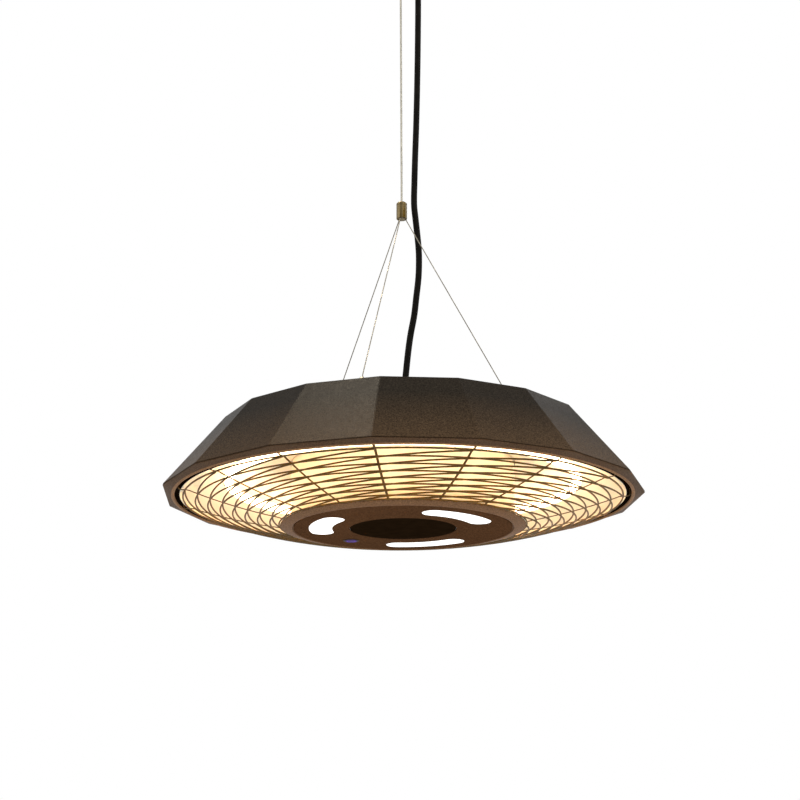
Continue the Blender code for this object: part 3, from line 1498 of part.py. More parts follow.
def switch_body():
    """Switch on the light board, with a blind bore for the stem."""
    bore = STEM_RADIUS + FIT
    roof = BUTTON_BACK + STEM_LENGTH + BUTTON_TRAVEL + FIT
    top = SWITCH_BOTTOM + SWITCH_HEIGHT
    outline = (
        (bore, SWITCH_BOTTOM),
        (SWITCH_FLANGE_RADIUS, SWITCH_BOTTOM),
        (SWITCH_FLANGE_RADIUS, SWITCH_BOTTOM + SWITCH_FLANGE),
        (SWITCH_RADIUS, SWITCH_BOTTOM + SWITCH_FLANGE),
        (SWITCH_RADIUS, top),
        (0, top),
        (0, roof),
        (bore, roof),
    )
    return at_button(spun("switch_body", outline, BLACK_PLASTIC, SMALL_STEPS))


def button_spring():
    """Coil spring between the button's back and the switch."""
    low = BUTTON_BACK + FIT + SPRING_WIRE_RADIUS
    high = SWITCH_BOTTOM - FIT - SPRING_WIRE_RADIUS
    count = SPRING_TURNS * SPRING_TURN_POINTS
    points = []
    for step in range(count + 1):
        x, y = polar(SPRING_RADIUS, math.tau * step / SPRING_TURN_POINTS)
        points.append((x, y, low + (high - low) * step / count))
    print("button spring gap", (high - low) / SPRING_TURNS - 2 * SPRING_WIRE_RADIUS)
    return at_button(wire("button_spring", points, SPRING_WIRE_RADIUS, STEEL, 1))


def gland_body():
    """Hexagon body of the cable gland with a thread above and below."""
    seat = RIM_Z + PLATE_TOP + FIT
    bottom = RIM_Z + PLATE_TOP - GLAND_THREAD_BELOW
    top = seat + GLAND_HEX_HEIGHT + GLAND_THREAD_ABOVE
    body = prisms("gland_body", [hexagon(GLAND_HEX_RADIUS)], 0, GLAND_HEX_HEIGHT, BLACK_PLASTIC)
    body.location = (0, 0, seat)
    fused(body, rod("gland_thread", (0, 0, bottom), (0, 0, top), GLAND_THREAD_RADIUS, None))
    return drilled(body, (0, 0, bottom), (0, 0, top), CABLE_RADIUS + FIT)


def gland_nut():
    """Domed nut that closes on the cable."""
    bore = CABLE_RADIUS + FIT
    thread = GLAND_THREAD_RADIUS + FIT
    cavity = GLAND_THREAD_ABOVE
    outline = (
        (thread, 0),
        (DOME_RADIUS, 0),
        (DOME_RADIUS, DOME_HEIGHT * DOME_SHOULDER_SHARE),
        (DOME_RADIUS * DOME_TOP_SHARE, DOME_HEIGHT),
        (bore, DOME_HEIGHT),
        (bore, cavity),
        (thread, cavity),
    )
    nut = spun("gland_nut", outline, BLACK_PLASTIC, SMALL_STEPS)
    nut.location = (0, 0, RIM_Z + PLATE_TOP + FIT + GLAND_HEX_HEIGHT + FIT)
    return nut


def gland_locknut():
    """Nut of the cable gland under the top plate."""
    place = (0, 0, RIM_Z + PLATE_BOTTOM - FIT - LOCKNUT_HEIGHT)
    bore = GLAND_THREAD_RADIUS + FIT
    return hex_nut("gland_locknut", LOCKNUT_RADIUS, bore, LOCKNUT_HEIGHT, place, BLACK_PLASTIC)


def smooth_route(points, spacing):
    """Points this far apart along a smooth curve through the given points."""
    knots = [Vector(point) for point in points]
    ends = [2 * knots[0] - knots[1], *knots, 2 * knots[-1] - knots[-2]]
    fine = []
    for before, start, end, after in zip(ends, ends[1:], ends[2:], ends[3:]):
        for step in range(ROUTE_STEPS):
            t = step / ROUTE_STEPS
            fine.append(
                (
                    2 * start
                    + (end - before) * t
                    + (2 * before - 5 * start + 4 * end - after) * t**2
                    + (3 * start - before - 3 * end + after) * t**3
                )
                / 2
            )
    fine.append(knots[-1])
    travelled = [0.0]
    for near, far in zip(fine, fine[1:]):
        travelled.append(travelled[-1] + (far - near).length)
    count = round(travelled[-1] / spacing)
    route = []
    index = 0
    for step in range(count + 1):
        wanted = travelled[-1] * step / count
        while index < len(fine) - 2 and travelled[index + 1] < wanted:
            index += 1
        share = (wanted - travelled[index]) / (travelled[index + 1] - travelled[index])
        route.append(fine[index].lerp(fine[index + 1], share))
    return route


def power_cable():
    """Cable from the gland up through the rose's bush."""
    route = [(x, y, RIM_Z + height) for x, y, height in CABLE_ROUTE]
    points = smooth_route(route, CABLE_POINT_DIAMETERS * 2 * CABLE_RADIUS)
    return wire("power_cable", points, CABLE_RADIUS, BLACK_RUBBER)


def hung_pieces():
    """Pieces that swing or turn, each group under an empty on its joint's axis."""
    front_axis = axis_empty("swing_front_axis", (0, 0, -LINK_BAR_DROP))
    side_axis = axis_empty("swing_side_axis", (0, 0, -LINK_BOTTOM_DROP))
    swivel_axis = axis_empty("swivel_axis", (0, 0, RIM_Z + STOP_TOP_HEIGHT))
    heater = [coupling_cap(), coupling_body(), top_plate(), shade_shell()]
    heater += [gland_body(), gland_nut(), gland_locknut(), bezel_ring(), reflector()]
    heater += [heat_shield(), terminal_block(), heating_tube(), tube_end(1, 1), tube_end(2, -1)]
    heater += [guard(), lamp_housing(), disc_bezel(), face_plate(), centre_cap(), led_board()]
    heater += [button(), button_bezel(), switch_body(), button_spring(), power_cable()]
    for number in range(WIRE_COUNT):
        heater += [lower_wire(number), wire_ferrule(number)]
        heater += [anchor_eye(number), anchor_nut(number)]
        heater += [lens(number), support_post(number)]
    for number, point in enumerate(CLIP_POINTS, start=1):
        heater.append(tube_clip(number, TUBE_START_DEG + point * TUBE_STEP_DEG))
    carried_by(swivel_axis, heater)
    carried_by(side_axis, [upper_wire(), thimble(), upper_ferrule(), wire_stop(), swivel_axis])
    carried_by(front_axis, [quick_link(), quick_link_nut(), side_axis])


def main():
    for old in list(bpy.data.objects):
        bpy.data.objects.remove(old)
    ceiling_bracket()
    rose_cover()
    rose_screws()
    rose_bush()
    rose_terminal_block()
    eye_bolt()
    eye_nut()
    hung_pieces()


main()
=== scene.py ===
"""Looks of the hanging patio heater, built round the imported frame, in metres, +Z up."""

import math

import bmesh
import bpy
import numpy as np
from mathutils import Matrix, Vector


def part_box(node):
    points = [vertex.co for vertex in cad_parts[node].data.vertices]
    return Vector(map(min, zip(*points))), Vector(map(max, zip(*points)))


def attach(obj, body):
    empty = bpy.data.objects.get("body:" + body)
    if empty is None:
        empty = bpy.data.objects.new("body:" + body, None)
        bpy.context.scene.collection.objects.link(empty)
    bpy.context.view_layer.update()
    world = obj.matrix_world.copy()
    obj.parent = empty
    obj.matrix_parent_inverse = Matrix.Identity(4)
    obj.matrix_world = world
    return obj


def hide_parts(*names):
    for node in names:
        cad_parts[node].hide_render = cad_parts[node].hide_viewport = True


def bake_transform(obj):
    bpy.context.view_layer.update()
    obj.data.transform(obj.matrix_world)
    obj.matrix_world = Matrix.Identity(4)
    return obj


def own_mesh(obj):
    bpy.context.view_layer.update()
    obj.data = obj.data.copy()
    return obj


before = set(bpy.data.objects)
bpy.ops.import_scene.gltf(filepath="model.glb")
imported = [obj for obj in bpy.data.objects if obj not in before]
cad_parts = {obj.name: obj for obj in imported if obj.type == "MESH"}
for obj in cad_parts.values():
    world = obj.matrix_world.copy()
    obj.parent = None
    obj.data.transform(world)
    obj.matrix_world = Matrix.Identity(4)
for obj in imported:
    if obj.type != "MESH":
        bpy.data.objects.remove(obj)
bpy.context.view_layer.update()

# Camera, as fitted to the photograph
FRAME_PIXELS = 800
FOCAL_PIXELS = 1425.4
SENSOR = 36.0
PITCH_DEG = 16.62
ROLL_DEG = -0.226
CAMERA_DISTANCE = 1.9069
RIM_PIXEL = (402.99, 498.10)

# Shade and bezel, as in the part. Heights of the heater count from the rim plane.
FIT = 0.0003
RIM_Z = -0.855
SIDES = 16
FIRST_CORNER_DEG = 16.04
FLAT_SHARE = math.cos(math.pi / SIDES)
SHADE_RADIUS = 0.320
SHADE_TOP_RADIUS = 0.242
SHADE_HEIGHT = 0.0954
SHADE_WALL = 0.0018
SHADE_FLANGE = 0.0015
SHADE_TOP_FLANGE = 0.014
FOLD_DEG = 12
FOLD_BEVEL = 0.00055
FOLD_AREA = 0.0003
SEAM = 0.0009
LIP_BORE_RADIUS = 0.302
LIP_CENTRE = (0.3041, -0.0038)
LIP_WIRE = 0.0021
COLLAR_RADIUS = 0.3035
COLLAR_HEIGHT = 0.005

# Reflector dish
DISH_INNER = 0.15103
DISH_EDGE = 0.2948
DISH_LOW = -0.0037
DISH_DEPTH = 0.0477
DISH_SHEET = 0.0012
DISH_FLANGE = 0.0053
# shares of the dish's width, from its edge, and of its depth
DISH_SHARES = (
    (0, 0), (0.012, 0.120), (0.140, 0.497), (0.324, 0.832), (0.494, 0.958), (0.731, 0.916), (1, 1),
)

# Guard: its rings, the spirals across them and the flat spokes
HUB_RADIUS = 0.163
RING_PITCH = 0.01635
OUTER_RING = 0.291
RING_COUNT = 8
HUB_RING = 0.1643
WIRE = 0.00115
WIRE_SIDES = 8
SPIRAL_STEPS = 80
SPOKE = 0.0016
SPOKE_THICK = 0.0006
SPOKE_SIDES = 12
SPOKE_START = 0.1513
SPOKE_FOOT = 0.150
SPOKE_EASE = 0.02
SPOKE_RADII = np.arange(0.1626, 0.2905, 0.004)
GUARD_TOP = -0.0064
GUARD_DROP = 0.0315
GUARD_BULGE = 0.40
SPOKE_END = (
    (0.2935, -0.0061), (0.2968, -0.0058), (0.2992, -0.0050), (0.3002, -0.0032), (0.3002, 0.0046),
)

# Heating tube
TUBE_CIRCLE = 0.232
TUBE_Z = RIM_Z + 0.0185
TUBE_RADIUS = 0.006
TUBE_START_DEG = 95.0
TUBE_END_DEG = 445.0
COIL_RADIUS = 0.0030
COIL_WIRE = 0.00075
COIL_TURNS = 560
COIL_STEPS = 8
COIL_INSET_DEG = 1

# Lamp unit
FACE = RIM_Z - 0.0423
LENSES = 3
FIRST_LENS_DEG = 72.5
LENS_CIRCLE = 0.1098
LENS_HALF_WIDTH = 0.0152
LENS_HALF_DEG = 21.8
BUTTON_CIRCLE = 0.104
BUTTON_DEG = 133.5
BUTTON_HOLE = 0.0106
BUTTON_PROUD = 0.0017
SPRING_RADIUS = 0.005
SPRING_WIRE = 0.0003
SPRING_TURNS = 2

# Wires, anchors, coupling and gland
LEG_GAP = 0.0002
UPPER_WIRE = 0.00155
UPPER_WIRE_END = 0.4140
UPPER_LOOP_Z = -0.061545
UPPER_LOOP_RADIUS = 0.00665
UPPER_LOOP = 0.015
UPPER_FERRULE = 0.011
LOWER_WIRES = 3
FIRST_WIRE_DEG = 12.5
LOWER_WIRE = 0.00075
LOWER_WIRE_CIRCLE = 0.0058
LOWER_LOOP_RADIUS = 0.003
LOWER_LOOP = 0.009
LOWER_FERRULE = 0.007
COUPLING_HEIGHT = 0.4045
PLATE_TOP = 0.0936
ANCHOR_CIRCLE = 0.180
EYE_RADIUS = 0.0045
EYE_WIRE = 0.00125
EYE_RISE = 0.0065
RIBS = 20
RIB_DEPTH = 0.00045

# Rose and quick link
ROSE_RADIUS = 0.050
ROSE_WALL = 0.0015
ROSE_CORNER = (0.044, -0.039)
ROSE_FILLET = 0.006
SCREW_BORE_Z = -0.010
SCREW_BORE_RADIUS = 0.0019
EYE_BOLT_RING = (0, -0.030)
LINK_Z = -0.0474
LINK_RADIUS = 0.007
LINK_STRAIGHT = 0.006

# Cable; its route is (x, y, height above the rim plane)
CABLE_RADIUS = 0.0045
CABLE_SIDES = 20
CABLE_STEP = 0.003
CABLE_ROUTE = (
    (0.0, 0.0, 0.084), (0.0, 0.0, 0.113), (0.0012, 0.0030, 0.140), (0.0045, 0.0080, 0.1744),
    (0.0079, 0.0110, 0.2078), (0.0116, 0.0130, 0.2356), (0.0167, 0.0140, 0.2637),
    (0.0200, 0.0145, 0.2920), (0.0233, 0.0145, 0.3221), (0.0242, 0.0145, 0.3509),
    (0.0232, 0.0140, 0.3738), (0.0199, 0.0135, 0.4092), (0.0178, 0.0130, 0.4340),
    (0.0185, 0.0115, 0.4669), (0.0197, 0.0105, 0.5048), (0.0217, 0.0096, 0.5577),
    (0.0235, 0.0092, 0.6200), (0.0250, 0.0090, 0.6900), (0.0260, 0.0090, 0.7600),
    (0.0260, 0.0090, 0.8050), (0.0260, 0.0090, 0.8220),
)

# Stage
FLOOR_Z = -3.1
FLOOR_RADIUS = 14.0
FLOOR_THICK = 0.01
FLOOR_LIFT = 0.35
WORLD_LIGHT = 0.45
LAMP_WARMTH = (1.0, 0.88, 0.70)

# Meshing
TINY = 1e-9
MERGE = 1e-6
FILLET_STEPS = 3
FILLET_SHARE = 0.45
STRANDS = 6
ASIDE = (0.13, 0.97, 0.21)

# Faces that meet at up to these angles are shaded as one
SMOOTH_DEG = 35
WIRE_DEG = 60
BEZEL_DEG = 30
FOLD_SMOOTH_DEG = 40

# A colour mix node's sockets share names with others, so they go by number
MIX_A, MIX_B, MIX_RESULT = 6, 7, 2


def make_camera():
    """The camera at the photograph's place and angle."""
    pitch = math.radians(PITCH_DEG)
    roll = math.radians(ROLL_DEG)
    forward = Vector((0, math.cos(pitch), math.sin(pitch)))
    level = Vector((1, 0, 0))
    upward = Vector((0, -math.sin(pitch), math.cos(pitch)))
    right = level * math.cos(roll) + upward * math.sin(roll)
    up = upward * math.cos(roll) - level * math.sin(roll)
    middle = FRAME_PIXELS / 2
    aside = (RIM_PIXEL[0] - middle) / FOCAL_PIXELS * CAMERA_DISTANCE
    above = (RIM_PIXEL[1] - middle) / FOCAL_PIXELS * CAMERA_DISTANCE
    place = Vector((0, 0, RIM_Z)) - forward * CAMERA_DISTANCE - right * aside + up * above
    data = bpy.data.cameras.new("camera")
    data.sensor_width = SENSOR
    data.lens = SENSOR * FOCAL_PIXELS / FRAME_PIXELS
    camera = bpy.data.objects.new("camera", data)
    turn = Matrix((right, up, -forward)).transposed().to_4x4()
    camera.matrix_world = Matrix.Translation(place) @ turn
    bpy.context.scene.collection.objects.link(camera)
    bpy.context.scene.camera = camera


class Shape:
    """Solids gathered into one mesh. The marks are the faces' material numbers."""

    def __init__(self):
        self.points = []
        self.faces = []
        self.marks = []

    def add(self, points, faces):
        base = len(self.points)
        self.points += [tuple(point) for point in points]
        self.faces += [tuple(base + index for index in face) for face in faces]
        self.marks += [0] * len(faces)

    def made(self, name, *materials, smooth_deg=SMOOTH_DEG, turn=None):
        """An object of this shape, shaded smooth up to an angle."""
        mesh = bpy.data.meshes.new(name)
        mesh.from_pydata(self.points, [], self.faces)
        build = bmesh.new()
        build.from_mesh(mesh)
        for face, mark in zip(build.faces, self.marks):
            face.material_index = mark
        bmesh.ops.remove_doubles(build, verts=build.verts, dist=MERGE)
        bmesh.ops.recalc_face_normals(build, faces=build.faces)
        build.to_mesh(mesh)
        build.free()
        for material in materials:
            mesh.materials.append(material)
        mesh.shade_smooth()
        mesh.set_sharp_from_angle(angle=math.radians(smooth_deg))
        if turn is not None:
            mesh.transform(turn)
        made = bpy.data.objects.new(name, mesh)
        bpy.context.scene.collection.objects.link(made)
        return made


def carried(piece, slot, *nodes, body="heater"):
    """The piece rides on a body and stands for these nodes."""
    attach(piece, body)
    if nodes:
        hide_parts(*nodes)


def moved(x=0.0, y=0.0, z=0.0):
    return Matrix.Translation((x, y, z))


def spin_z(degrees):
    return Matrix.Rotation(math.radians(degrees), 4, "Z")


def on_circle(radius, degrees):
    """The point (x, y) at this radius and azimuth."""
    angle = math.radians(degrees)
    return Vector((radius * math.cos(angle), radius * math.sin(angle)))


def arc(centre, radius, start_deg, end_deg, steps):
    """Points (u, v) along an arc, both ends included."""
    points = []
    for step in range(steps + 1):
        point = on_circle(radius, start_deg + (end_deg - start_deg) * step / steps)
        points.append((centre[0] + point.x, centre[1] + point.y))
    return points


def circle(radius, steps, centre=(0, 0)):
    """Points (u, v) round a full circle."""
    return arc(centre, radius, 0, 360, steps)[:-1]


def filleted(points, radius):
    """The closed (radius, z) outline, its corners off the axis rounded by about this radius."""
    corners = [Vector(point) for point in points]
    rounded = []
    for index, corner in enumerate(corners):
        before = corners[index - 1] - corner
        after = corners[(index + 1) % len(corners)] - corner
        if corner.x < TINY:
            rounded.append(tuple(corner))
            continue
        reach = min(radius, before.length * FILLET_SHARE, after.length * FILLET_SHARE)
        start = corner + before.normalized() * reach
        end = corner + after.normalized() * reach
        for step in range(FILLET_STEPS + 1):
            share = step / FILLET_STEPS
            near = start.lerp(corner, share)
            rounded.append(tuple(near.lerp(corner.lerp(end, share), share)))
    return rounded


def tube_faces(count, sides, closed=False):
    """Faces between count rings of points, with two ends unless closed."""
    faces = []
    for number in range(count if closed else count - 1):
        near = number * sides
        far = (number + 1) % count * sides
        for turn in range(sides):
            onward = (turn + 1) % sides
            faces.append((near + turn, near + onward, far + onward, far + turn))
    if not closed:
        faces.append(tuple(range(sides))[::-1])
        faces.append(tuple((count - 1) * sides + turn for turn in range(sides)))
    return faces


def spun(shape, outline, steps, at=(0, 0, 0), reach=None):
    """A closed (radius, z) outline turned about an upright axis; reach changes radii by angle."""
    points = []
    for step in range(steps):
        angle = math.tau * step / steps
        for index, (radius, z) in enumerate(outline):
            far = reach(index, radius, angle) if reach else radius
            points.append((far * math.cos(angle) + at[0], far * math.sin(angle) + at[1], z + at[2]))
    count = len(outline)
    on_axis = [radius < TINY for radius, _ in outline]
    faces = tube_faces(steps, count, closed=True)
    shape.add(points, [f for f in faces if not (on_axis[f[0] % count] and on_axis[f[1] % count])])
    return shape


def block(inner, outer, low, high):
    """A rectangular (radius, z) outline."""
    return ((inner, low), (outer, low), (outer, high), (inner, high))


def lathed(profile, base, fillet, steps):
    """A turned solid with rounded corners; its profile's heights count from the base."""
    outline = filleted([(radius, base + z) for radius, z in profile], fillet)
    return spun(Shape(), outline, steps)


def unit(vectors):
    return vectors / np.linalg.norm(vectors, axis=1)[:, None]


def directions(points):
    """An open line's points, tangents and two sideways directions, without twist."""
    line = np.array(points, float)
    along = unit(np.gradient(line, axis=0))
    first = np.cross(along[0], ASIDE)
    sides = [first / np.linalg.norm(first)]
    for tangent in along[1:]:
        carried_on = sides[-1] - tangent * (sides[-1] @ tangent)
        sides.append(carried_on / np.linalg.norm(carried_on))
    side = np.array(sides)
    return line, along, side, np.cross(along, side)


def swept(shape, line, side, other, sides, closed=False):
    """A tube of elliptic sections, with these two half axes at each point of the line."""
    turns = math.tau * np.arange(sides) / sides
    rings = (
        line[:, None]
        + np.cos(turns)[None, :, None] * side[:, None]
        + np.sin(turns)[None, :, None] * other[:, None]
    )
    shape.add(rings.reshape(-1, 3), tube_faces(len(line), sides, closed))
    return shape


def tube(shape, points, radius, sides):
    """A round tube along the points, with two ends."""
    line, _, side, other = directions(points)
    return swept(shape, line, radius * side, radius * other, sides)


def loop_tube(shape, points, radius, sides):
    """A closed round tube along a flat loop in any plane."""
    line = np.array(points, float)
    outward = unit(line - line.mean(0))
    along = unit(np.roll(line, -1, 0) - np.roll(line, 1, 0))
    return swept(shape, line, radius * outward, radius * np.cross(along, outward), sides, True)


def strip(shape, points, turn):
    """A flat bar with round edges along points in the XZ plane, then turned."""
    line, along, _, _ = directions(points)
    side = np.tile((0.0, SPOKE, 0.0), (len(line), 1))
    up = np.stack([-along[:, 2], 0 * along[:, 0], along[:, 0]], axis=1) * SPOKE_THICK
    bar = swept(Shape(), line, side, up, SPOKE_SIDES)
    shape.add([turn @ Vector(point) for point in bar.points], bar.faces)


def travelled(line):
    """How far along the line each of its points is."""
    return np.concatenate([[0], np.cumsum(np.linalg.norm(np.diff(line, axis=0), axis=1))])


def resampled(points, spacing):
    """The line again with points this far apart."""
    line = np.array(points, float)
    distance = travelled(line)
    count = max(2, round(distance[-1] / spacing) + 1)
    wanted = np.linspace(0, distance[-1], count)
    return np.stack([np.interp(wanted, distance, line[:, k]) for k in range(3)], axis=1)


def smooth_line(points, spacing, closeness=12):
    """Points this far apart along a smooth curve through the given points."""
    knots = [Vector(point) for point in points]
    ends = [2 * knots[0] - knots[1], *knots, 2 * knots[-1] - knots[-2]]
    fine = []
    for before, start, end, after in zip(ends, ends[1:], ends[2:], ends[3:]):
        for step in range(closeness):
            t = step / closeness
            once = (end - before) * t
            twice = (2 * before - 5 * start + 4 * end - after) * t**2
            thrice = (3 * start - before - 3 * end + after) * t**3
            fine.append((2 * start + once + twice + thrice) / 2)
    fine.append(knots[-1])
    return resampled(fine, spacing)


def stranded(points, radius, lay_length, sides=6, step=None):
    """A wire rope: strands wound round a core along the points."""
    shape = Shape()
    line, _, side, other = directions(resampled(points, step or lay_length / 12))
    thin = radius / 3
    tube(shape, line, thin * 1.05, sides)
    for strand in range(STRANDS):
        turn = math.tau * (travelled(line) / lay_length + strand / STRANDS)
        around = np.cos(turn)[:, None] * side + np.sin(turn)[:, None] * other
        tube(shape, line + around * (radius - thin), thin, sides)
    return shape


def prism(outline, bottom, top, fillet=0.0):
    """A counterclockwise (x, y) outline raised from bottom to top, with rounded rims."""
    flat = [Vector(point) for point in outline]
    inward = []
    for index in range(len(flat)):
        way = flat[(index + 1) % len(flat)] - flat[index - 1]
        inward.append(Vector((-way.y, way.x)).normalized())
    levels = [(0.0, bottom), (0.0, top)]
    if fillet:
        angles = (0, math.pi / 6, math.pi / 3, math.pi / 2)
        quarter = [(fillet * (1 - math.sin(t)), fillet * (1 - math.cos(t))) for t in angles]
        levels = [(inset, bottom + rise) for inset, rise in quarter]
        levels += [(inset, top - rise) for inset, rise in quarter[::-1]]
    points = []
    for inset, z in levels:
        for corner, way in zip(flat, inward):
            points.append((*(corner + way * inset), z))
    shape = Shape()
    shape.add(points, tube_faces(len(levels), len(flat)))
    return shape


def holed(piece, *cutters):
    """Takes the cutters away from the piece and deletes them."""
    for cutter in cutters:
        boolean = piece.modifiers.new("hole", "BOOLEAN")
        boolean.operation = "DIFFERENCE"
        boolean.solver = "EXACT"
        boolean.object = cutter
    graph = bpy.context.evaluated_depsgraph_get()
    mesh = bpy.data.meshes.new_from_object(piece.evaluated_get(graph))
    piece.modifiers.clear()
    mesh.set_sharp_from_angle(angle=math.radians(SMOOTH_DEG))
    piece.data = mesh
    for cutter in cutters:
        bpy.data.objects.remove(cutter)


class Look:
    """A Principled material with helpers that add procedural detail."""

    def __init__(self, name, colour, roughness, metallic=0.0, **sockets):
        self.material = bpy.data.materials.new(name)
        self.material.use_nodes = True
        self.material.diffuse_color = (*colour, 1.0)
        self.nodes = self.material.node_tree.nodes
        self.links = self.material.node_tree.links
        self.sockets = self.nodes["Principled BSDF"].inputs
        sockets |= {"Base_Color": (*colour, 1.0), "Roughness": roughness, "Metallic": metallic}
        for socket, value in sockets.items():
            self.sockets[socket.replace("_", " ")].default_value = value
        self.bumped = None
        self.place = self.node("TexCoord").outputs["Object"]

    def feed(self, value, socket):
        """Links the socket to the value if it is a socket, and else sets it."""
        if isinstance(value, bpy.types.NodeSocket):
            self.links.new(value, socket)
        else:
            socket.default_value = value

    def node(self, kind, **values):
        """A new shader node with these inputs; an underscore stands for a space."""
        made = self.nodes.new("ShaderNode" + kind)
        for socket, value in values.items():
            self.feed(value, made.inputs[socket.replace("_", " ")])
        return made

    def mixed(self, one, two, factor, blend_type):
        """The colour that a mix of two colours gives."""
        mix = self.nodes.new("ShaderNodeMix")
        mix.data_type = "RGBA"
        mix.blend_type = blend_type
        self.feed(factor, mix.inputs["Factor"])
        self.feed(one, mix.inputs[MIX_A])
        self.feed(two, mix.inputs[MIX_B])
        return mix.outputs[MIX_RESULT]

    def noise(self, scale, detail=3.0, roughness=0.55, stretch=None):
        """A noise pattern."""
        place = self.place
        if stretch:
            place = self.node("Mapping", Vector=place, Scale=stretch).outputs["Vector"]
        noise = self.node("TexNoise", Vector=place, Scale=scale, Detail=detail, Roughness=roughness)
        return noise.outputs["Fac"]

    def cells(self, scale):
        """A pattern of small cells."""
        return self.node("TexVoronoi", Vector=self.place, Scale=scale).outputs["Distance"]

    def turned(self, pitch, centre):
        """Rings about an upright axis, as a lathe leaves them."""
        offset = [-x for x in centre]
        place = self.node("Mapping", Vector=self.place, Location=offset).outputs["Vector"]
        # at scale 1 the texture's rings are about 1 / 3.2 apart
        scale = 1 / (pitch * 3.2)
        rings = self.node("TexWave", Vector=place, Scale=scale, Distortion=1.2, Detail=2.0)
        rings.wave_type = "RINGS"
        rings.rings_direction = "Z"
        return rings.outputs["Fac"]

    def ramp(self, pattern, low, high, start=0.3, end=0.7):
        """Colours between low and high as the pattern goes from start to end."""
        ramp = self.node("ValToRGB", Fac=pattern)
        first, last = ramp.color_ramp.elements
        first.position, last.position = start, end
        first.color, last.color = (*low, 1.0), (*high, 1.0)
        return ramp.outputs["Color"]

    def coloured(self, pattern, low, high):
        """Base colour between low and high."""
        self.feed(self.ramp(pattern, low, high), self.sockets["Base Color"])

    def mottled(self, one, two, amount):
        """Base colour from one colour pattern darkened by another."""
        self.feed(self.mixed(one, two, amount, "MULTIPLY"), self.sockets["Base Color"])

    def tinted_by_height(self, low, high, tint):
        """Multiplies the base colour by the tint at the low height, by 1 at the high one."""
        height = self.node("SeparateXYZ", Vector=self.place).outputs["Z"]
        share = self.node("MapRange", Value=height, From_Min=low, From_Max=high).outputs["Result"]
        tints = self.mixed((*tint, 1.0), (1, 1, 1, 1), share, "MIX")
        base = self.sockets["Base Color"]
        self.feed(self.mixed(base.links[0].from_socket, tints, 1.0, "MULTIPLY"), base)

    def worn(self, pattern, low, high):
        """Roughness between low and high."""
        spread = self.node(
            "MapRange", Value=pattern, From_Min=0.3, From_Max=0.7, To_Min=low, To_Max=high
        )
        self.feed(spread.outputs["Result"], self.sockets["Roughness"])

    def bump(self, pattern, height, strength):
        """Relief from a pattern, this high, over any earlier relief."""
        relief = self.node("Bump", Height=pattern, Distance=height, Strength=strength)
        if self.bumped:
            self.feed(self.bumped, relief.inputs["Normal"])
        self.bumped = relief.outputs["Normal"]
        self.feed(self.bumped, self.sockets["Normal"])

    def glowing(self, colour, strength):
        """Light of its own."""
        self.feed((*colour, 1.0), self.sockets["Emission Color"])
        self.feed(strength, self.sockets["Emission Strength"])


def scaled(colour, factor):
    return tuple(part * factor for part in colour)


def powder_coat(name, colour, speckle, roughness, gloss, painted_glow=None):
    """Fine-textured coat with lighter specks; the optional tint paints a warm glow of the heater's
    tube onto its lower part.
    """
    look = Look(name, colour, roughness, Specular_IOR_Level=gloss)
    pits = scaled(colour, 0.45)
    specks = look.ramp(look.noise(620, roughness=0.75), pits, speckle, 0.34, 0.70)
    clouds = look.ramp(look.noise(9), (0.88, 0.88, 0.88), (1, 1, 1))
    look.mottled(specks, clouds, 1.0)
    # A warm glow of the tube is painted here: the coat gets lighter and warmer towards its lower
    # edge
    if painted_glow:
        look.tinted_by_height(RIM_Z, RIM_Z + SHADE_HEIGHT * 0.75, painted_glow)
    look.worn(look.noise(300), roughness - 0.05, roughness + 0.07)
    look.bump(look.noise(760, roughness=0.6), 0.00018, 0.6)
    return look.material


def plated(name, colour, roughness, grain=700):
    """Plated steel with faint cloudy spangle and scratches."""
    look = Look(name, colour, roughness, 1.0)
    look.coloured(look.noise(grain / 4, 4.0), scaled(colour, 0.72), scaled(colour, 1.18))
    look.worn(look.noise(grain / 2, 4.0), roughness - 0.1, roughness + 0.12)
    look.bump(look.noise(grain, roughness=0.6, stretch=(1, 1, 0.2)), 0.00004, 0.5)
    return look.material


def moulded(name, colour, roughness, grain=1100, gloss=0.3):
    """Moulded plastic with a fine spark-eroded grain."""
    look = Look(name, colour, roughness, Specular_IOR_Level=gloss)
    look.coloured(look.noise(grain / 10), scaled(colour, 0.8), scaled(colour, 1.2))
    look.worn(look.noise(grain / 3), roughness - 0.06, roughness + 0.08)
    look.bump(look.cells(grain), 0.00005, 0.5)
    return look.material


def rubber():
    """Black rubber with fine marks along the cable."""
    look = Look("black_rubber", (0.006, 0.005, 0.0038), 0.6, Specular_IOR_Level=0.05)
    look.coloured(look.noise(90, 4.0), (0.004, 0.0034, 0.0025), (0.010, 0.0082, 0.006))
    look.worn(look.noise(160, 4.0), 0.45, 0.68)
    look.bump(look.noise(700, roughness=0.6, stretch=(1, 1, 0.12)), 0.00005, 0.6)
    return look.material


def spun_reflector():
    """Cream reflector, hardly metallic, with fine lathe rings and soft waves."""
    look = Look("spun_reflector", (0.90, 0.82, 0.66), 0.45, 0.1, Specular_IOR_Level=0.2)
    look.coloured(look.noise(14, 4.0), (0.84, 0.78, 0.61), (0.90, 0.85, 0.69))
    look.worn(look.noise(40, 4.0), 0.34, 0.48)
    look.bump(look.turned(0.0012, (0, 0, RIM_Z)), 0.00003, 0.6)
    look.bump(look.noise(22, 2.0), 0.0006, 0.35)
    return look.material


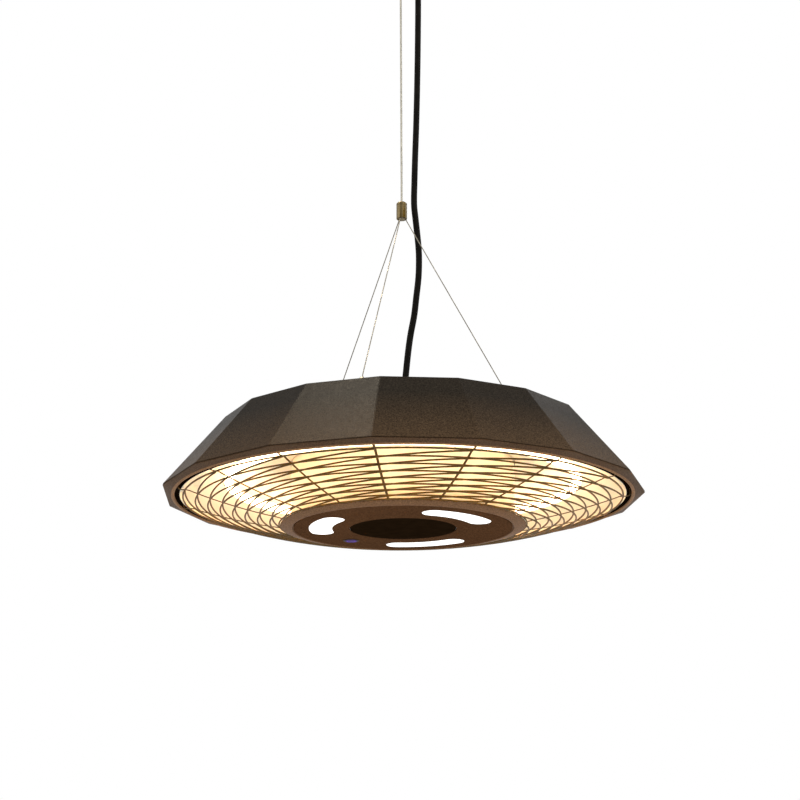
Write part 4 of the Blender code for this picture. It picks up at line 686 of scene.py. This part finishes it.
def antique_brass():
    """Dark brass with upright light and dark bands, which are painted reflections, and patina."""
    look = Look("antique_brass", (0.30, 0.23, 0.13), 0.3, 1.0)
    # Upright bands of dark and light brass: painted reflections of the surroundings on the round
    # coupling
    upright = look.noise(230, 2.0, 0.5, (1, 1, 0.05))
    reflection_bands = look.ramp(upright, (0.050, 0.030, 0.006), (0.33, 0.26, 0.14), 0.38, 0.68)
    patina = look.ramp(look.noise(500, 4.0, 0.6), (0.70, 0.66, 0.58), (1, 1, 1))
    look.mottled(reflection_bands, patina, 0.8)
    look.worn(look.noise(700, 4.0), 0.22, 0.46)
    look.bump(look.noise(1400, roughness=0.6, stretch=(1, 1, 0.15)), 0.00005, 0.6)
    return look.material


def guard_coat():
    """Bronze-coloured coat of the guard's wires."""
    colour = (0.125, 0.070, 0.020)
    look = Look("guard_coat", colour, 0.6, Specular_IOR_Level=0.1)
    look.coloured(look.noise(180, 4.0), scaled(colour, 0.6), scaled(colour, 1.35))
    look.worn(look.noise(400), 0.34, 0.55)
    look.bump(look.noise(900), 0.00006, 0.6)
    return look.material


def lens_diffuser():
    """Lit opal lens with a fine grain."""
    look = Look("lens_diffuser", (0.9, 0.9, 0.88), 0.35)
    look.coloured(look.noise(60, 2.0), (0.86, 0.86, 0.84), (0.95, 0.95, 0.93))
    look.bump(look.cells(900), 0.00004, 0.4)
    look.glowing((1.0, 0.98, 0.94), 1.1)
    return look.material


def tube_glass():
    """Clear glass that glows a little itself."""
    look = Look("tube_glass", (1.0, 0.86, 0.62), 0.08, Alpha=0.32)
    look.worn(look.noise(120), 0.04, 0.16)
    look.glowing((1.0, 0.84, 0.56), 7.0)
    look.material.surface_render_method = "BLENDED"
    return look.material


def heating_coil():
    """The glowing coil."""
    look = Look("heating_coil", (1.0, 0.6, 0.25), 0.6)
    look.glowing((1.0, 0.775, 0.53), 11.0)
    return look.material


def ceramic():
    """Unglazed ceramic of the tube's ends."""
    look = Look("ceramic", (0.78, 0.73, 0.64), 0.6)
    look.coloured(look.noise(220, 4.0), (0.66, 0.60, 0.50), (0.84, 0.80, 0.73))
    look.worn(look.noise(90), 0.5, 0.75)
    look.bump(look.noise(800, 4.0), 0.00008, 0.6)
    return look.material


def lit_ring():
    """Dim violet light of the button's ring."""
    look = Look("lit_ring", (0.12, 0.07, 0.35), 0.5, Specular_IOR_Level=0.0)
    look.glowing((0.30, 0.16, 0.85), 0.3)
    look.bump(look.cells(1200), 0.00003, 0.3)
    return look.material


DARK = ((0.027, 0.020, 0.0145), (0.066, 0.052, 0.037), 0.36, 0.01)
COAT = powder_coat("powder_coat", *DARK)
# The shade's coat, with a painted warm glow of the tube on the lower part of its facets
SHADE_COAT_AND_GLOW = powder_coat("shade_coat_and_glow", *DARK, (3.0, 2.35, 1.75))
RIM_COAT = powder_coat("rim_coat", (0.105, 0.058, 0.030), (0.175, 0.100, 0.054), 0.45, 0.03)
# The bezel's lip: its brown coat made orange by painted glow of the tube
LIP_COAT_AND_GLOW = powder_coat("lip_coat_and_glow", (0.330, 0.172, 0.078), (0.50, 0.272, 0.132), 0.5, 0.04)
# The ring round the lamp disc: reddish-brown, partly its own colour and partly painted orange glow
# of the tube
RING_COAT_AND_GLOW = powder_coat("ring_coat_and_glow", (0.230, 0.115, 0.052), (0.36, 0.185, 0.086), 0.5, 0.04)
DISC_COAT = powder_coat("disc_coat", (0.120, 0.053, 0.024), (0.185, 0.088, 0.041), 0.66, 0.0)
ZINC = plated("zinc_plated", (0.52, 0.50, 0.46), 0.36)
DULL_ZINC = plated("dull_zinc", (0.42, 0.40, 0.37), 0.5, 400)
ROPE = plated("wire_rope", (0.48, 0.45, 0.38), 0.42, 1600)
TRIM = plated("dark_trim", (0.050, 0.029, 0.022), 0.6, 900)
SIDE_ROPE = plated("side_rope", (0.30, 0.27, 0.21), 0.46, 1600)
EYE_STEEL = plated("eye_steel", (0.16, 0.14, 0.115), 0.5, 900)
BRASS = antique_brass()
RUBBER = rubber()
BLACK = moulded("black_plastic", (0.012, 0.010, 0.008), 0.5)
# Near-black of the centre cap; also put on the dish's skirt and the bezel's collar as painted shade
# of the dark gap between them
CAP_AND_SHADE_BLACK = moulded("cap_and_shade_black", (0.016, 0.0085, 0.0038), 0.7, 700, 0.0)
WHITE = moulded("white_plastic", (0.80, 0.79, 0.75), 0.45)
DISH = spun_reflector()
GUARD = guard_coat()
LENS = lens_diffuser()
GLASS = tube_glass()
COIL = heating_coil()
CERAMIC = ceramic()
BUTTON = moulded("button_plastic", (0.100, 0.062, 0.21), 0.5, gloss=0.02)
LIT_RING = lit_ring()

# CAD solids that are kept, by material
KEPT = {
    COAT: ("top_plate",),
    DISH: ("lamp_housing",),
    ZINC: (
        "ceiling_bracket", "rose_screw_1", "rose_screw_2", "eye_nut", "quick_link_nut", "thimble",
        "wire_stop", "anchor_nut_1", "anchor_nut_2", "anchor_nut_3", "tube_clip_1", "tube_clip_2",
        "tube_clip_3",
    ),
    DULL_ZINC: ("heat_shield", "support_post_1", "support_post_2", "support_post_3"),
    WHITE: ("rose_terminal_block", "terminal_block", "led_board"),
    BLACK: ("gland_locknut", "switch_body"),
    CERAMIC: ("tube_end_1", "tube_end_2"),
}


def paint_kept():
    """Gives the kept solids their materials."""
    for material, nodes in KEPT.items():
        for node in nodes:
            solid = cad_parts[node]
            solid.data.materials.clear()
            solid.data.materials.append(material)


def cable():
    """Power cable in three lengths, split near the joints it passes."""
    points = smooth_line([(x, y, RIM_Z + z) for x, y, z in CABLE_ROUTE], CABLE_STEP)
    # name, lowest and highest z, upper and lower body, where the bend starts and ends
    lengths = (
        ("power_cord", -1.0, -0.100, "hanger", "heater", -0.105, -0.400),
        ("power_cord_link", -0.100, -0.070, "link", "hanger", -0.071, -0.098),
        ("power_cord_rose", -0.070, 0.0, "ceiling_mount", "link", -0.047, -0.069),
    )
    for name, low, high, upper, lower, start, end in lengths:
        inside = [p for p in points if low <= p[2] <= high]
        if high < 0:
            inside.append(min((p for p in points if p[2] > high), key=lambda p: p[2]))
        shape = tube(Shape(), inside, CABLE_RADIUS, CABLE_SIDES)
        piece = shape.made(name, RUBBER, smooth_deg=WIRE_DEG)
        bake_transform(piece)
    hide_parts("power_cable")


def inner_radius(height):
    """The shade's inside at a height, at its corners."""
    slope = (SHADE_RADIUS - SHADE_TOP_RADIUS) / SHADE_HEIGHT
    return SHADE_RADIUS - slope * height - SHADE_WALL


def shade_turn():
    """From the origin to the rim, with the first corner at its place."""
    return moved(z=RIM_Z) @ spin_z(FIRST_CORNER_DEG)


def shade():
    """Faceted shade with bevelled folds."""
    foot = (COLLAR_RADIUS + FIT) / FLAT_SHARE
    ceiling = SHADE_HEIGHT - SHADE_FLANGE
    opening = SHADE_TOP_RADIUS - SHADE_TOP_FLANGE
    outline = (
        (SHADE_RADIUS, 0),
        (SHADE_TOP_RADIUS, SHADE_HEIGHT),
        (opening, SHADE_HEIGHT),
        (opening, ceiling),
        (inner_radius(ceiling), ceiling),
        (inner_radius(SHADE_FLANGE), SHADE_FLANGE),
        (foot, SHADE_FLANGE),
        (foot, 0),
    )
    piece = spun(Shape(), outline, SIDES).made("shade", SHADE_COAT_AND_GLOW, turn=shade_turn())
    build = bmesh.new()
    build.from_mesh(piece.data)
    edges = [e for e in build.edges if e.calc_face_angle(0) > math.radians(FOLD_DEG)]
    bmesh.ops.bevel(
        build, geom=edges, offset=FOLD_BEVEL, segments=3, affect="EDGES", clamp_overlap=True
    )
    build.to_mesh(piece.data)
    build.free()
    piece.data.set_sharp_from_angle(angle=math.radians(FOLD_SMOOTH_DEG))
    for face in piece.data.polygons:
        face.use_smooth = face.area < FOLD_AREA
    carried(piece, "powder_coat", "shade_shell")


def bezel():
    """Band under the shade: faceted outside, with a round lip and a collar inside; the lip carries
    painted glow and the collar painted shade.
    """
    # how faceted the band is there, radius, height
    band = [
        (1, SHADE_RADIUS - 0.0016, -FIT / 3),
        (1, SHADE_RADIUS - 0.0016, -SEAM),
        (1, SHADE_RADIUS - 0.0003, -SEAM),
        (1, SHADE_RADIUS, -SEAM - 0.0003),
        (1, SHADE_RADIUS - 0.0005, -SEAM - 0.0011),
        (0.5, 0.3130, -0.0033),
    ]
    lip = [(0, 0.3068, -0.0047)]
    lip += [(0, radius, z) for radius, z in arc(LIP_CENTRE, LIP_WIRE, -35, -180, 9)]
    collar = [
        (0, LIP_BORE_RADIUS, COLLAR_HEIGHT),
        (0, COLLAR_RADIUS, COLLAR_HEIGHT),
        (0, COLLAR_RADIUS, -FIT / 3),
    ]
    outline = band + lip + collar
    side = math.tau / SIDES

    def reach(index, radius, angle):
        flat = radius * FLAT_SHARE / math.cos(angle % side - side / 2)
        return radius + outline[index][0] * (flat - radius)

    steps = 12 * SIDES
    shape = spun(Shape(), [(radius, z) for _, radius, z in outline], steps, reach=reach)
    # Marks: outer band, lip with painted orange glow, collar painted near-black as the shade in the
    # gap
    shape.marks = ([0] * len(band) + [1] * (len(lip) - 1) + [2] * (len(collar) + 1)) * steps
    piece = shape.made(
        "bezel", RIM_COAT, LIP_COAT_AND_GLOW, CAP_AND_SHADE_BLACK, smooth_deg=BEZEL_DEG, turn=shade_turn()
    )
    carried(piece, "warm_coat", "bezel_ring")


def reflector():
    """Spun dish; its skirt and flange at the edge are painted near-black, a painted shade of the
    gap behind the bezel.
    """
    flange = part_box("reflector")[1][0]
    width = DISH_EDGE - DISH_INNER
    knots = []
    for aside, rise in DISH_SHARES:
        knots.append((DISH_EDGE - aside * width, 0, DISH_LOW + rise * DISH_DEPTH))
    below = [(p[0], p[2]) for p in smooth_line(knots, 0.003)]
    above = [(radius, z + DISH_SHEET) for radius, z in below[1:]]
    skirt = DISH_EDGE + 0.0008
    top = DISH_FLANGE + DISH_SHEET
    edge = [(skirt, DISH_LOW), (skirt, DISH_FLANGE), (flange, DISH_FLANGE), (flange, top)]
    steps = 192
    outline = below[::-1] + edge + [(skirt - DISH_SHEET, top)] + above
    shape = spun(Shape(), outline, steps, (0, 0, RIM_Z))
    # The skirt and flange get the near-black: painted shade of the gap
    shape.marks = ([0] * len(below) + [1] * len(edge) + [0] * (1 + len(above))) * steps
    piece = shape.made("reflector_dish", DISH, CAP_AND_SHADE_BLACK)
    carried(piece, "reflector_metal", "reflector")


def guard_height(radius):
    """The guard's height at a radius: it drops towards the hub in a shallow bulge."""
    share = (OUTER_RING - radius) / (OUTER_RING - HUB_RADIUS)
    return RIM_Z + GUARD_TOP - GUARD_DROP * ((1 + GUARD_BULGE) * share - GUARD_BULGE * share**2)


def guard():
    """Domed guard of round wires and flat spokes, welded where they cross."""
    shape = Shape()
    rings = [OUTER_RING - RING_PITCH * number for number in range(RING_COUNT)]
    for radius in [*rings, HUB_RING]:
        line = [(x, y, guard_height(radius)) for x, y in circle(radius, SIDES * 14)]
        loop_tube(shape, line, WIRE, WIRE_SIDES)
    sector = 360 / SIDES
    span = OUTER_RING - HUB_RING
    lift = WIRE + SPOKE_THICK * 0.8
    course = [(SPOKE_START, guard_height(HUB_RADIUS) + lift * 0.3)]
    for radius in SPOKE_RADII:
        raised = lift * min(1, (radius - SPOKE_FOOT) / SPOKE_EASE)
        course.append((radius, guard_height(radius) + raised))
    course += [(radius, RIM_Z + z) for radius, z in SPOKE_END]
    bar = smooth_line([(radius, 0, z) for radius, z in course], 0.002, 4)
    for spoke in range(SIDES):
        line = []
        for step in range(SPIRAL_STEPS + 1):
            inward = span * (1 - step / SPIRAL_STEPS)
            radius = OUTER_RING - inward
            sectors = spoke + RING_COUNT - 1 - inward / RING_PITCH
            x, y = on_circle(radius, FIRST_CORNER_DEG + sectors * sector)
            line.append((x, y, guard_height(radius) - WIRE * 0.9))
        tube(shape, line, WIRE, WIRE_SIDES)
        strip(shape, bar, spin_z(FIRST_CORNER_DEG + spoke * sector))
    piece = shape.made("guard_wires", GUARD, smooth_deg=WIRE_DEG)
    carried(piece, "guard_metal", "grille")


def heating_tube():
    """Glass tube bent to a ring, with the glowing coil inside."""
    course = arc((0, 0), TUBE_CIRCLE, TUBE_START_DEG, TUBE_END_DEG, 240)
    shape = tube(Shape(), [(x, y, TUBE_Z) for x, y in course], TUBE_RADIUS, 20)
    piece = shape.made("lamp_glass", GLASS, smooth_deg=WIRE_DEG)
    carried(piece, "lamp_glass", "heating_tube")
    coil = []
    start, end = TUBE_START_DEG + COIL_INSET_DEG, TUBE_END_DEG - COIL_INSET_DEG
    steps = COIL_TURNS * COIL_STEPS
    for step in range(steps + 1):
        turn = math.tau * step / COIL_STEPS
        degrees = start + (end - start) * step / steps
        x, y = on_circle(TUBE_CIRCLE + COIL_RADIUS * math.cos(turn), degrees)
        coil.append((x, y, TUBE_Z + COIL_RADIUS * math.sin(turn)))
    piece = tube(Shape(), coil, COIL_WIRE, 5).made("glowing_coil", COIL, smooth_deg=WIRE_DEG)
    carried(piece, "lamp_glass")


def lens_outline(half_width):
    """Curved slot with round ends, in the middle of its circle."""
    half = LENS_HALF_DEG
    outline = arc((0, 0), LENS_CIRCLE + half_width, -half, half, 32)
    outline += arc(on_circle(LENS_CIRCLE, half), half_width, half, half + 180, 16)[1:]
    outline += arc((0, 0), LENS_CIRCLE - half_width, half, -half, 32)[1:]
    outline += arc(on_circle(LENS_CIRCLE, -half), half_width, 180 - half, 360 - half, 16)[1:-1]
    return outline


def lamp_unit():
    """Ring, face plate, centre cap and lenses."""
    profile = (
        (HUB_RADIUS, -0.0382), (HUB_RADIUS, -0.0395), (0.1482, -0.0428), (0.1470, -0.0425),
        (0.1470, -0.0405), (0.1430, -0.0405), (0.1430, -0.0382),
    )
    shape = lathed(profile, RIM_Z, 0.0006, 160)
    carried(shape.made("disc_ring", RING_COAT_AND_GLOW), "warm_coat", "disc_bezel")

    plate = lathed(block(0.0710, 0.1453, 0, 0.0015), FACE, 0.0004, 160)
    plate = plate.made("disc_face", DISC_COAT)
    low, high = FACE - 0.002, FACE + 0.004
    step = 360 / LENSES
    lens_turns = [spin_z(FIRST_LENS_DEG + step * number) for number in range(LENSES)]
    cutters = []
    for turn in lens_turns:
        slot = prism(lens_outline(LENS_HALF_WIDTH + FIT), low, high)
        cutters.append(slot.made("slot", DISC_COAT, turn=turn))
    hole = spun(Shape(), block(0, BUTTON_HOLE, low, high), 48)
    cutters.append(hole.made("hole", DISC_COAT, turn=moved(*on_circle(BUTTON_CIRCLE, BUTTON_DEG))))
    holed(plate, *cutters)
    carried(plate, "warm_coat", "face_plate")

    profile = (
        (0, 0.0003), (0.0560, 0.0003), (0.0600, 0.0009), (0.0640, 0.0009), (0.0665, 0),
        (0.0705, 0), (0.0705, 0.0023), (0, 0.0023),
    )
    shape = lathed(profile, FACE + 0.0005, 0.0012, 128)
    carried(shape.made("disc_cap", CAP_AND_SHADE_BLACK), "black_plastic", "centre_cap")

    for number, turn in enumerate(lens_turns, 1):
        pane = prism(lens_outline(LENS_HALF_WIDTH), FACE - 0.0003, FACE + 0.0025, 0.0005)
        piece = pane.made("lens_pane_%d" % number, LENS, turn=turn)
        carried(piece, "lens_white", "lens_%d" % number)


def push_button():
    """Round button with a lit ring, in a dark sleeve."""
    x, y = on_circle(BUTTON_CIRCLE, BUTTON_DEG)
    place = moved(x, y)
    face = FACE - BUTTON_PROUD
    profile = (
        (0, 0.0004), (0.0042, 0.0003), (0.0050, 0.0006), (0.0064, 0.0006), (0.0068, 0),
        (0.0084, 0.0002), (0.0084, 0.0028), (0.0030, 0.0028), (0.0030, 0.0140), (0, 0.0140),
    )
    shape = lathed(profile, face, 0.0003, 64)
    carried(shape.made("button_cap", BUTTON, turn=place), "button_glow", "button", body="button")
    shape = lathed(block(0.0050, 0.0064, 0.0004, 0.0012), face, 0.0002, 64)
    carried(shape.made("button_light", LIT_RING, turn=place), "button_glow", body="button")
    profile = (
        (0.0087, -0.0011), (0.0108, -0.0011), (0.0112, -0.0003), (0.0103, -0.0003),
        (0.0103, 0.0015), (0.0087, 0.0015),
    )
    shape = lathed(profile, FACE, 0.0003, 64)
    carried(shape.made("button_sleeve", TRIM, turn=place), "steel", "button_bezel")
    return_spring(x, y)


def return_spring(x, y):
    """Coil behind the button."""
    low, high = (corner[2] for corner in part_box("button_spring"))
    steps = SPRING_TURNS * 24
    rise = (high - low - 2 * SPRING_WIRE) / steps
    points = []
    for step in range(steps + 1):
        place = on_circle(SPRING_RADIUS, 360 * SPRING_TURNS * step / steps)
        points.append((x + place.x, y + place.y, low + SPRING_WIRE + rise * step))
    shape = tube(Shape(), points, SPRING_WIRE, 10)
    piece = shape.made("button_coil", ZINC, smooth_deg=WIRE_DEG)
    carried(piece, "steel", "button_spring")
    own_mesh(piece)


def loop_course(loop_radius, leg, loop_length, ferrule_length, away):
    """Points (across, along) from far away through a ferrule and round a loop."""
    touch = math.acos(loop_radius / math.hypot(leg, loop_length))
    turn = math.degrees(math.atan2(-loop_length, leg) + touch)
    end = loop_length + ferrule_length
    course = [(0, -away), (0, -end - 0.005), (leg, -end), (leg, -loop_length)]
    course += arc((0, 0), loop_radius, turn, 180 - turn, 24)
    course += [(-leg, -loop_length), (-leg, -loop_length - 0.85 * ferrule_length)]
    return course


def ferrule(leg, radius, length, fillet):
    """Oval sleeve round two legs of a wire, from 0 up to its length."""
    outline = arc((leg, 0), radius, -90, 90, 12) + arc((-leg, 0), radius, 90, 270, 12)
    return prism(outline, 0, length, fillet)


def upper_wire():
    """Wire with its loop and ferrule, from the coupling to the link."""
    leg = UPPER_WIRE + LEG_GAP
    away = UPPER_LOOP_Z - (RIM_Z + UPPER_WIRE_END)
    course = loop_course(UPPER_LOOP_RADIUS, leg, UPPER_LOOP, UPPER_FERRULE, away)
    shape = stranded([(u, 0, UPPER_LOOP_Z + v) for u, v in course], UPPER_WIRE, 0.020)
    piece = shape.made("hanging_wire", ROPE, smooth_deg=WIRE_DEG)
    carried(piece, "wire_steel", "upper_wire", body="hanger")
    place = moved(z=UPPER_LOOP_Z - UPPER_LOOP - UPPER_FERRULE)
    shape = ferrule(leg, UPPER_WIRE + 0.0016, UPPER_FERRULE, 0.0004)
    piece = shape.made("hanging_ferrule", ZINC, turn=place)
    carried(piece, "wire_steel", "upper_ferrule", body="hanger")


def lower_wire(number):
    """A wire from the coupling to its eye, with its loop and ferrule."""
    degrees = FIRST_WIRE_DEG + 360 / LOWER_WIRES * (number - 1)
    centre = Vector((*on_circle(ANCHOR_CIRCLE, degrees), RIM_Z + PLATE_TOP + EYE_RISE))
    start = Vector((*on_circle(LOWER_WIRE_CIRCLE, degrees), RIM_Z + COUPLING_HEIGHT))
    along = (start - centre).normalized()
    sideways = Vector((*on_circle(1, degrees + 90), 0))
    leg = LOWER_WIRE + LEG_GAP
    hold = EYE_WIRE + LOWER_WIRE + FIT
    loop = centre + along * (EYE_RADIUS - hold + LOWER_LOOP_RADIUS)
    away = (start - loop).length
    course = loop_course(LOWER_LOOP_RADIUS, leg, LOWER_LOOP, LOWER_FERRULE, away)
    points = [start + Vector((0, 0, 0.0037))]
    points += [loop + sideways * u - along * v for u, v in course]
    shape = stranded(points, LOWER_WIRE, 0.010, sides=5, step=0.0013)
    piece = shape.made("side_wire_%d" % number, SIDE_ROPE, smooth_deg=WIRE_DEG)
    carried(piece, "wire_steel", "lower_wire_%d" % number)
    turn = Matrix((sideways, along.cross(sideways), along)).transposed().to_4x4()
    place = Matrix.Translation(loop + along * LOWER_LOOP) @ turn
    shape = ferrule(leg, LOWER_WIRE + 0.0011, LOWER_FERRULE, 0.0003)
    piece = shape.made("side_ferrule_%d" % number, SIDE_ROPE, turn=place)
    carried(piece, "wire_steel", "wire_ferrule_%d" % number)
    anchor_eye(number, centre, sideways)


def anchor_eye(number, centre, sideways):
    """Ring round this centre, with its flange and shank in the top plate."""
    shape = Shape()
    upright = sideways.to_track_quat("Z", "Y").to_matrix()
    ring = [tuple(upright @ Vector((u, v, 0)) + centre) for u, v in circle(EYE_RADIUS, 40)]
    loop_tube(shape, ring, EYE_WIRE, 12)
    x, y, z = centre
    neck = z - EYE_RADIUS - RIM_Z - PLATE_TOP
    profile = (
        (0, -0.0070), (0.0020, -0.0070), (0.0020, FIT), (0.0040, FIT), (0.0040, 0.0015),
        (0.0021, 0.0018), (0.0019, neck), (0, neck),
    )
    outline = filleted([(radius, RIM_Z + PLATE_TOP + rise) for radius, rise in profile], 0.0003)
    spun(shape, outline, 32, (x, y, 0))
    piece = shape.made("anchor_ring_%d" % number, EYE_STEEL)
    carried(piece, "steel", "anchor_eye_%d" % number)


def coupling():
    """Turned coupling: cup below, screwed cap with a dimple above."""
    low = RIM_Z + COUPLING_HEIGHT
    height = 0.0205
    profile = (
        (0, 0), (0.0070, 0), (0.0076, 0.0006), (0.0076, 0.0030), (0.00745, 0.0033),
        (0.0076, 0.0036), (0.0076, height), (0.0046, height), (0.0046, 0.006), (0, 0.006),
    )
    shape = lathed(profile, low, 0.00025, 72)
    carried(shape.made("coupling_cup", BRASS), "antique_brass", "coupling_body")
    profile = (
        (0.00185, -0.006), (0.0043, -0.006), (0.0043, 0), (0.0076, 0), (0.0076, 0.0028),
        (0.0062, 0.0045), (0.0032, 0.0045), (0.00185, 0.0033),
    )
    shape = lathed(profile, low + height + FIT, 0.0003, 72)
    carried(shape.made("coupling_top", BRASS), "antique_brass", "coupling_cap")


def gland():
    """Cable gland on the top plate: hexagon body and ribbed dome nut."""
    seat = RIM_Z + PLATE_TOP + FIT
    shape = prism(circle(0.0125, 6), seat, seat + 0.0045, 0.0005)
    spun(shape, block(0.0048, 0.0078, seat - 0.0096, seat + 0.0125), 48)
    carried(shape.made("gland_base", BLACK), "black_plastic", "gland_body")
    outline = (
        (0.0081, 0), (0.0113, 0), (0.0115, 0.0004), (0.0115, 0.0075), (0.0113, 0.0085),
        (0.0104, 0.0112), (0.0090, 0.0132), (0.0071, 0.0143), (0.0058, 0.0145), (0.0048, 0.0141),
        (0.0048, 0.008), (0.0081, 0.008),
    )

    def reach(index, radius, angle):
        depth = RIB_DEPTH if 1 <= index <= 4 else 0
        return radius - depth * (0.5 - 0.5 * math.cos(RIBS * angle))

    piece = spun(Shape(), outline, 160, (0, 0, seat + 0.0048), reach).made("gland_dome", BLACK)
    carried(piece, "black_plastic", "gland_nut")


def rose():
    """Smooth cover at the ceiling, with the cable's bush."""
    floor = ROSE_CORNER[1] - ROSE_FILLET
    outline = [
        (ROSE_RADIUS, -FIT),
        *arc(ROSE_CORNER, ROSE_FILLET, 0, -90, 8),
        (0.0146, floor),
        (0.0140, floor + 0.0004),
        (0.0140, floor + 0.0011),
        (0.0146, floor + ROSE_WALL),
        *arc(ROSE_CORNER, ROSE_FILLET - ROSE_WALL, -90, 0, 8),
        (ROSE_RADIUS - ROSE_WALL, -FIT),
    ]
    cover = spun(Shape(), outline, 128).made("rose_cup", COAT)
    place = moved(*CABLE_ROUTE[-1][:2])
    hole = spun(Shape(), block(0, 0.0069, -0.050, -0.040), 48).made("hole", COAT, turn=place)
    bore = tube(Shape(), [(x, 0, SCREW_BORE_Z) for x in (-0.06, 0, 0.06)], SCREW_BORE_RADIUS, 24)
    holed(cover, hole, bore.made("bore", COAT))
    carried(cover, "powder_coat", "rose_cover", body="ceiling_mount")
    bush = CABLE_RADIUS + FIT
    profile = (
        (bush, -0.0473), (0.0077, -0.0473), (0.0085, -0.0453), (0.0066, -0.0453),
        (0.0066, -0.0432), (0.0085, -0.0432), (0.0077, -0.0412), (bush, -0.0412),
    )
    piece = lathed(profile, 0, 0.0005, 64).made("cable_bush", RUBBER, turn=place)
    carried(piece, "black_rubber", "rose_bush", body="ceiling_mount")


def link():
    """Eye bolt in the ceiling bracket, and the quick link that hangs in it."""
    shape = Shape()
    loop_tube(shape, [(x, 0, z) for x, z in circle(0.009, 48, EYE_BOLT_RING)], 0.0025, 16)
    spun(shape, block(0, 0.004, -0.021, -0.0015), 40)
    carried(shape.made("eye_ring", ZINC), "steel", "eye_bolt", body="ceiling_mount")
    course = [
        (LINK_RADIUS, -0.0005),
        *arc((0, -LINK_STRAIGHT), LINK_RADIUS, 0, -180, 24),
        *arc((0, LINK_STRAIGHT), LINK_RADIUS, 180, 0, 24),
        (LINK_RADIUS, 0.0005),
    ]
    shape = tube(Shape(), [(0, y, LINK_Z + z) for y, z in course], 0.002, 16)
    piece = shape.made("link_wire", ZINC, smooth_deg=WIRE_DEG)
    carried(piece, "steel", "quick_link", body="link")


def seen_rays(nodes, links):
    """1 for rays from the camera, a reflection or a view through glass, else 0."""
    path = nodes.new("ShaderNodeLightPath")
    either = path.outputs["Is Camera Ray"]
    for kind in ("Is Glossy Ray", "Is Transmission Ray"):
        larger = nodes.new("ShaderNodeMath")
        larger.operation = "MAXIMUM"
        links.new(either, larger.inputs[0])
        links.new(path.outputs[kind], larger.inputs[1])
        either = larger.outputs[0]
    return either


def lamp(name, place, size, power, gloss_only=False):
    """A soft round lamp that faces the heater."""
    data = bpy.data.lights.new(name, "AREA")
    data.shape = "DISK"
    data.size = size
    data.energy = power
    data.color = LAMP_WARMTH if gloss_only else (1, 1, 1)
    light = bpy.data.objects.new(name, data)
    light.visible_diffuse = not gloss_only
    way = Vector((0, 0, RIM_Z + 0.1)) - Vector(place)
    turn = way.to_track_quat("-Z", "Y").to_matrix().to_4x4()
    light.matrix_world = Matrix.Translation(place) @ turn
    bpy.context.scene.collection.objects.link(light)


def stage():
    """Pale floor under the hanging heater, and soft lamps."""
    shape = spun(Shape(), block(0, FLOOR_RADIUS, FLOOR_Z - FLOOR_THICK, FLOOR_Z), 96)
    look = Look("floor", (0.86, 0.86, 0.85), 0.9)
    look.coloured(look.noise(3), (0.84, 0.84, 0.83), (0.88, 0.88, 0.87))
    lifted = look.node("Math")
    lifted.operation = "MULTIPLY"
    lifted.inputs[1].default_value = FLOOR_LIFT
    look.links.new(seen_rays(look.nodes, look.links), lifted.inputs[0])
    look.glowing((1, 1, 1), lifted.outputs[0])
    shape.made("floor", look.material)

    lamp("lamp_top", (-0.9, 0.3, 2.4), 0.6, 90, gloss_only=True)
    lamp("lamp_left", (-2.6, -2.2, 0.9), 1.8, 9)
    lamp("lamp_right", (2.6, -2.4, 0.9), 1.8, 42)
    lamp("lamp_back", (0.4, 3.2, 1.4), 2.2, 34)
    lamp("lamp_below", (0.4, -1.6, -2.7), 1.8, 18)


def surroundings():
    """White as seen, and dimmer as a light."""
    world = bpy.data.worlds.new("surroundings")
    world.use_nodes = True
    bpy.context.scene.world = world
    nodes = world.node_tree.nodes
    links = world.node_tree.links
    lit = nodes["Background"]
    seen = nodes.new("ShaderNodeBackground")
    for background, strength in ((lit, WORLD_LIGHT), (seen, 1.0)):
        background.inputs["Color"].default_value = (1, 1, 1, 1)
        background.inputs["Strength"].default_value = strength
    mix = nodes.new("ShaderNodeMixShader")
    links.new(seen_rays(nodes, links), mix.inputs["Fac"])
    links.new(lit.outputs[0], mix.inputs[1])
    links.new(seen.outputs[0], mix.inputs[2])
    links.new(mix.outputs[0], nodes["World Output"].inputs["Surface"])


def main():
    """Builds the scene."""
    bpy.context.scene.view_settings.view_transform = "Standard"
    make_camera()
    cable()
    paint_kept()
    shade()
    bezel()
    reflector()
    guard()
    heating_tube()
    lamp_unit()
    push_button()
    upper_wire()
    for number in range(1, LOWER_WIRES + 1):
        lower_wire(number)
    coupling()
    gland()
    rose()
    link()
    stage()
    surroundings()


main()
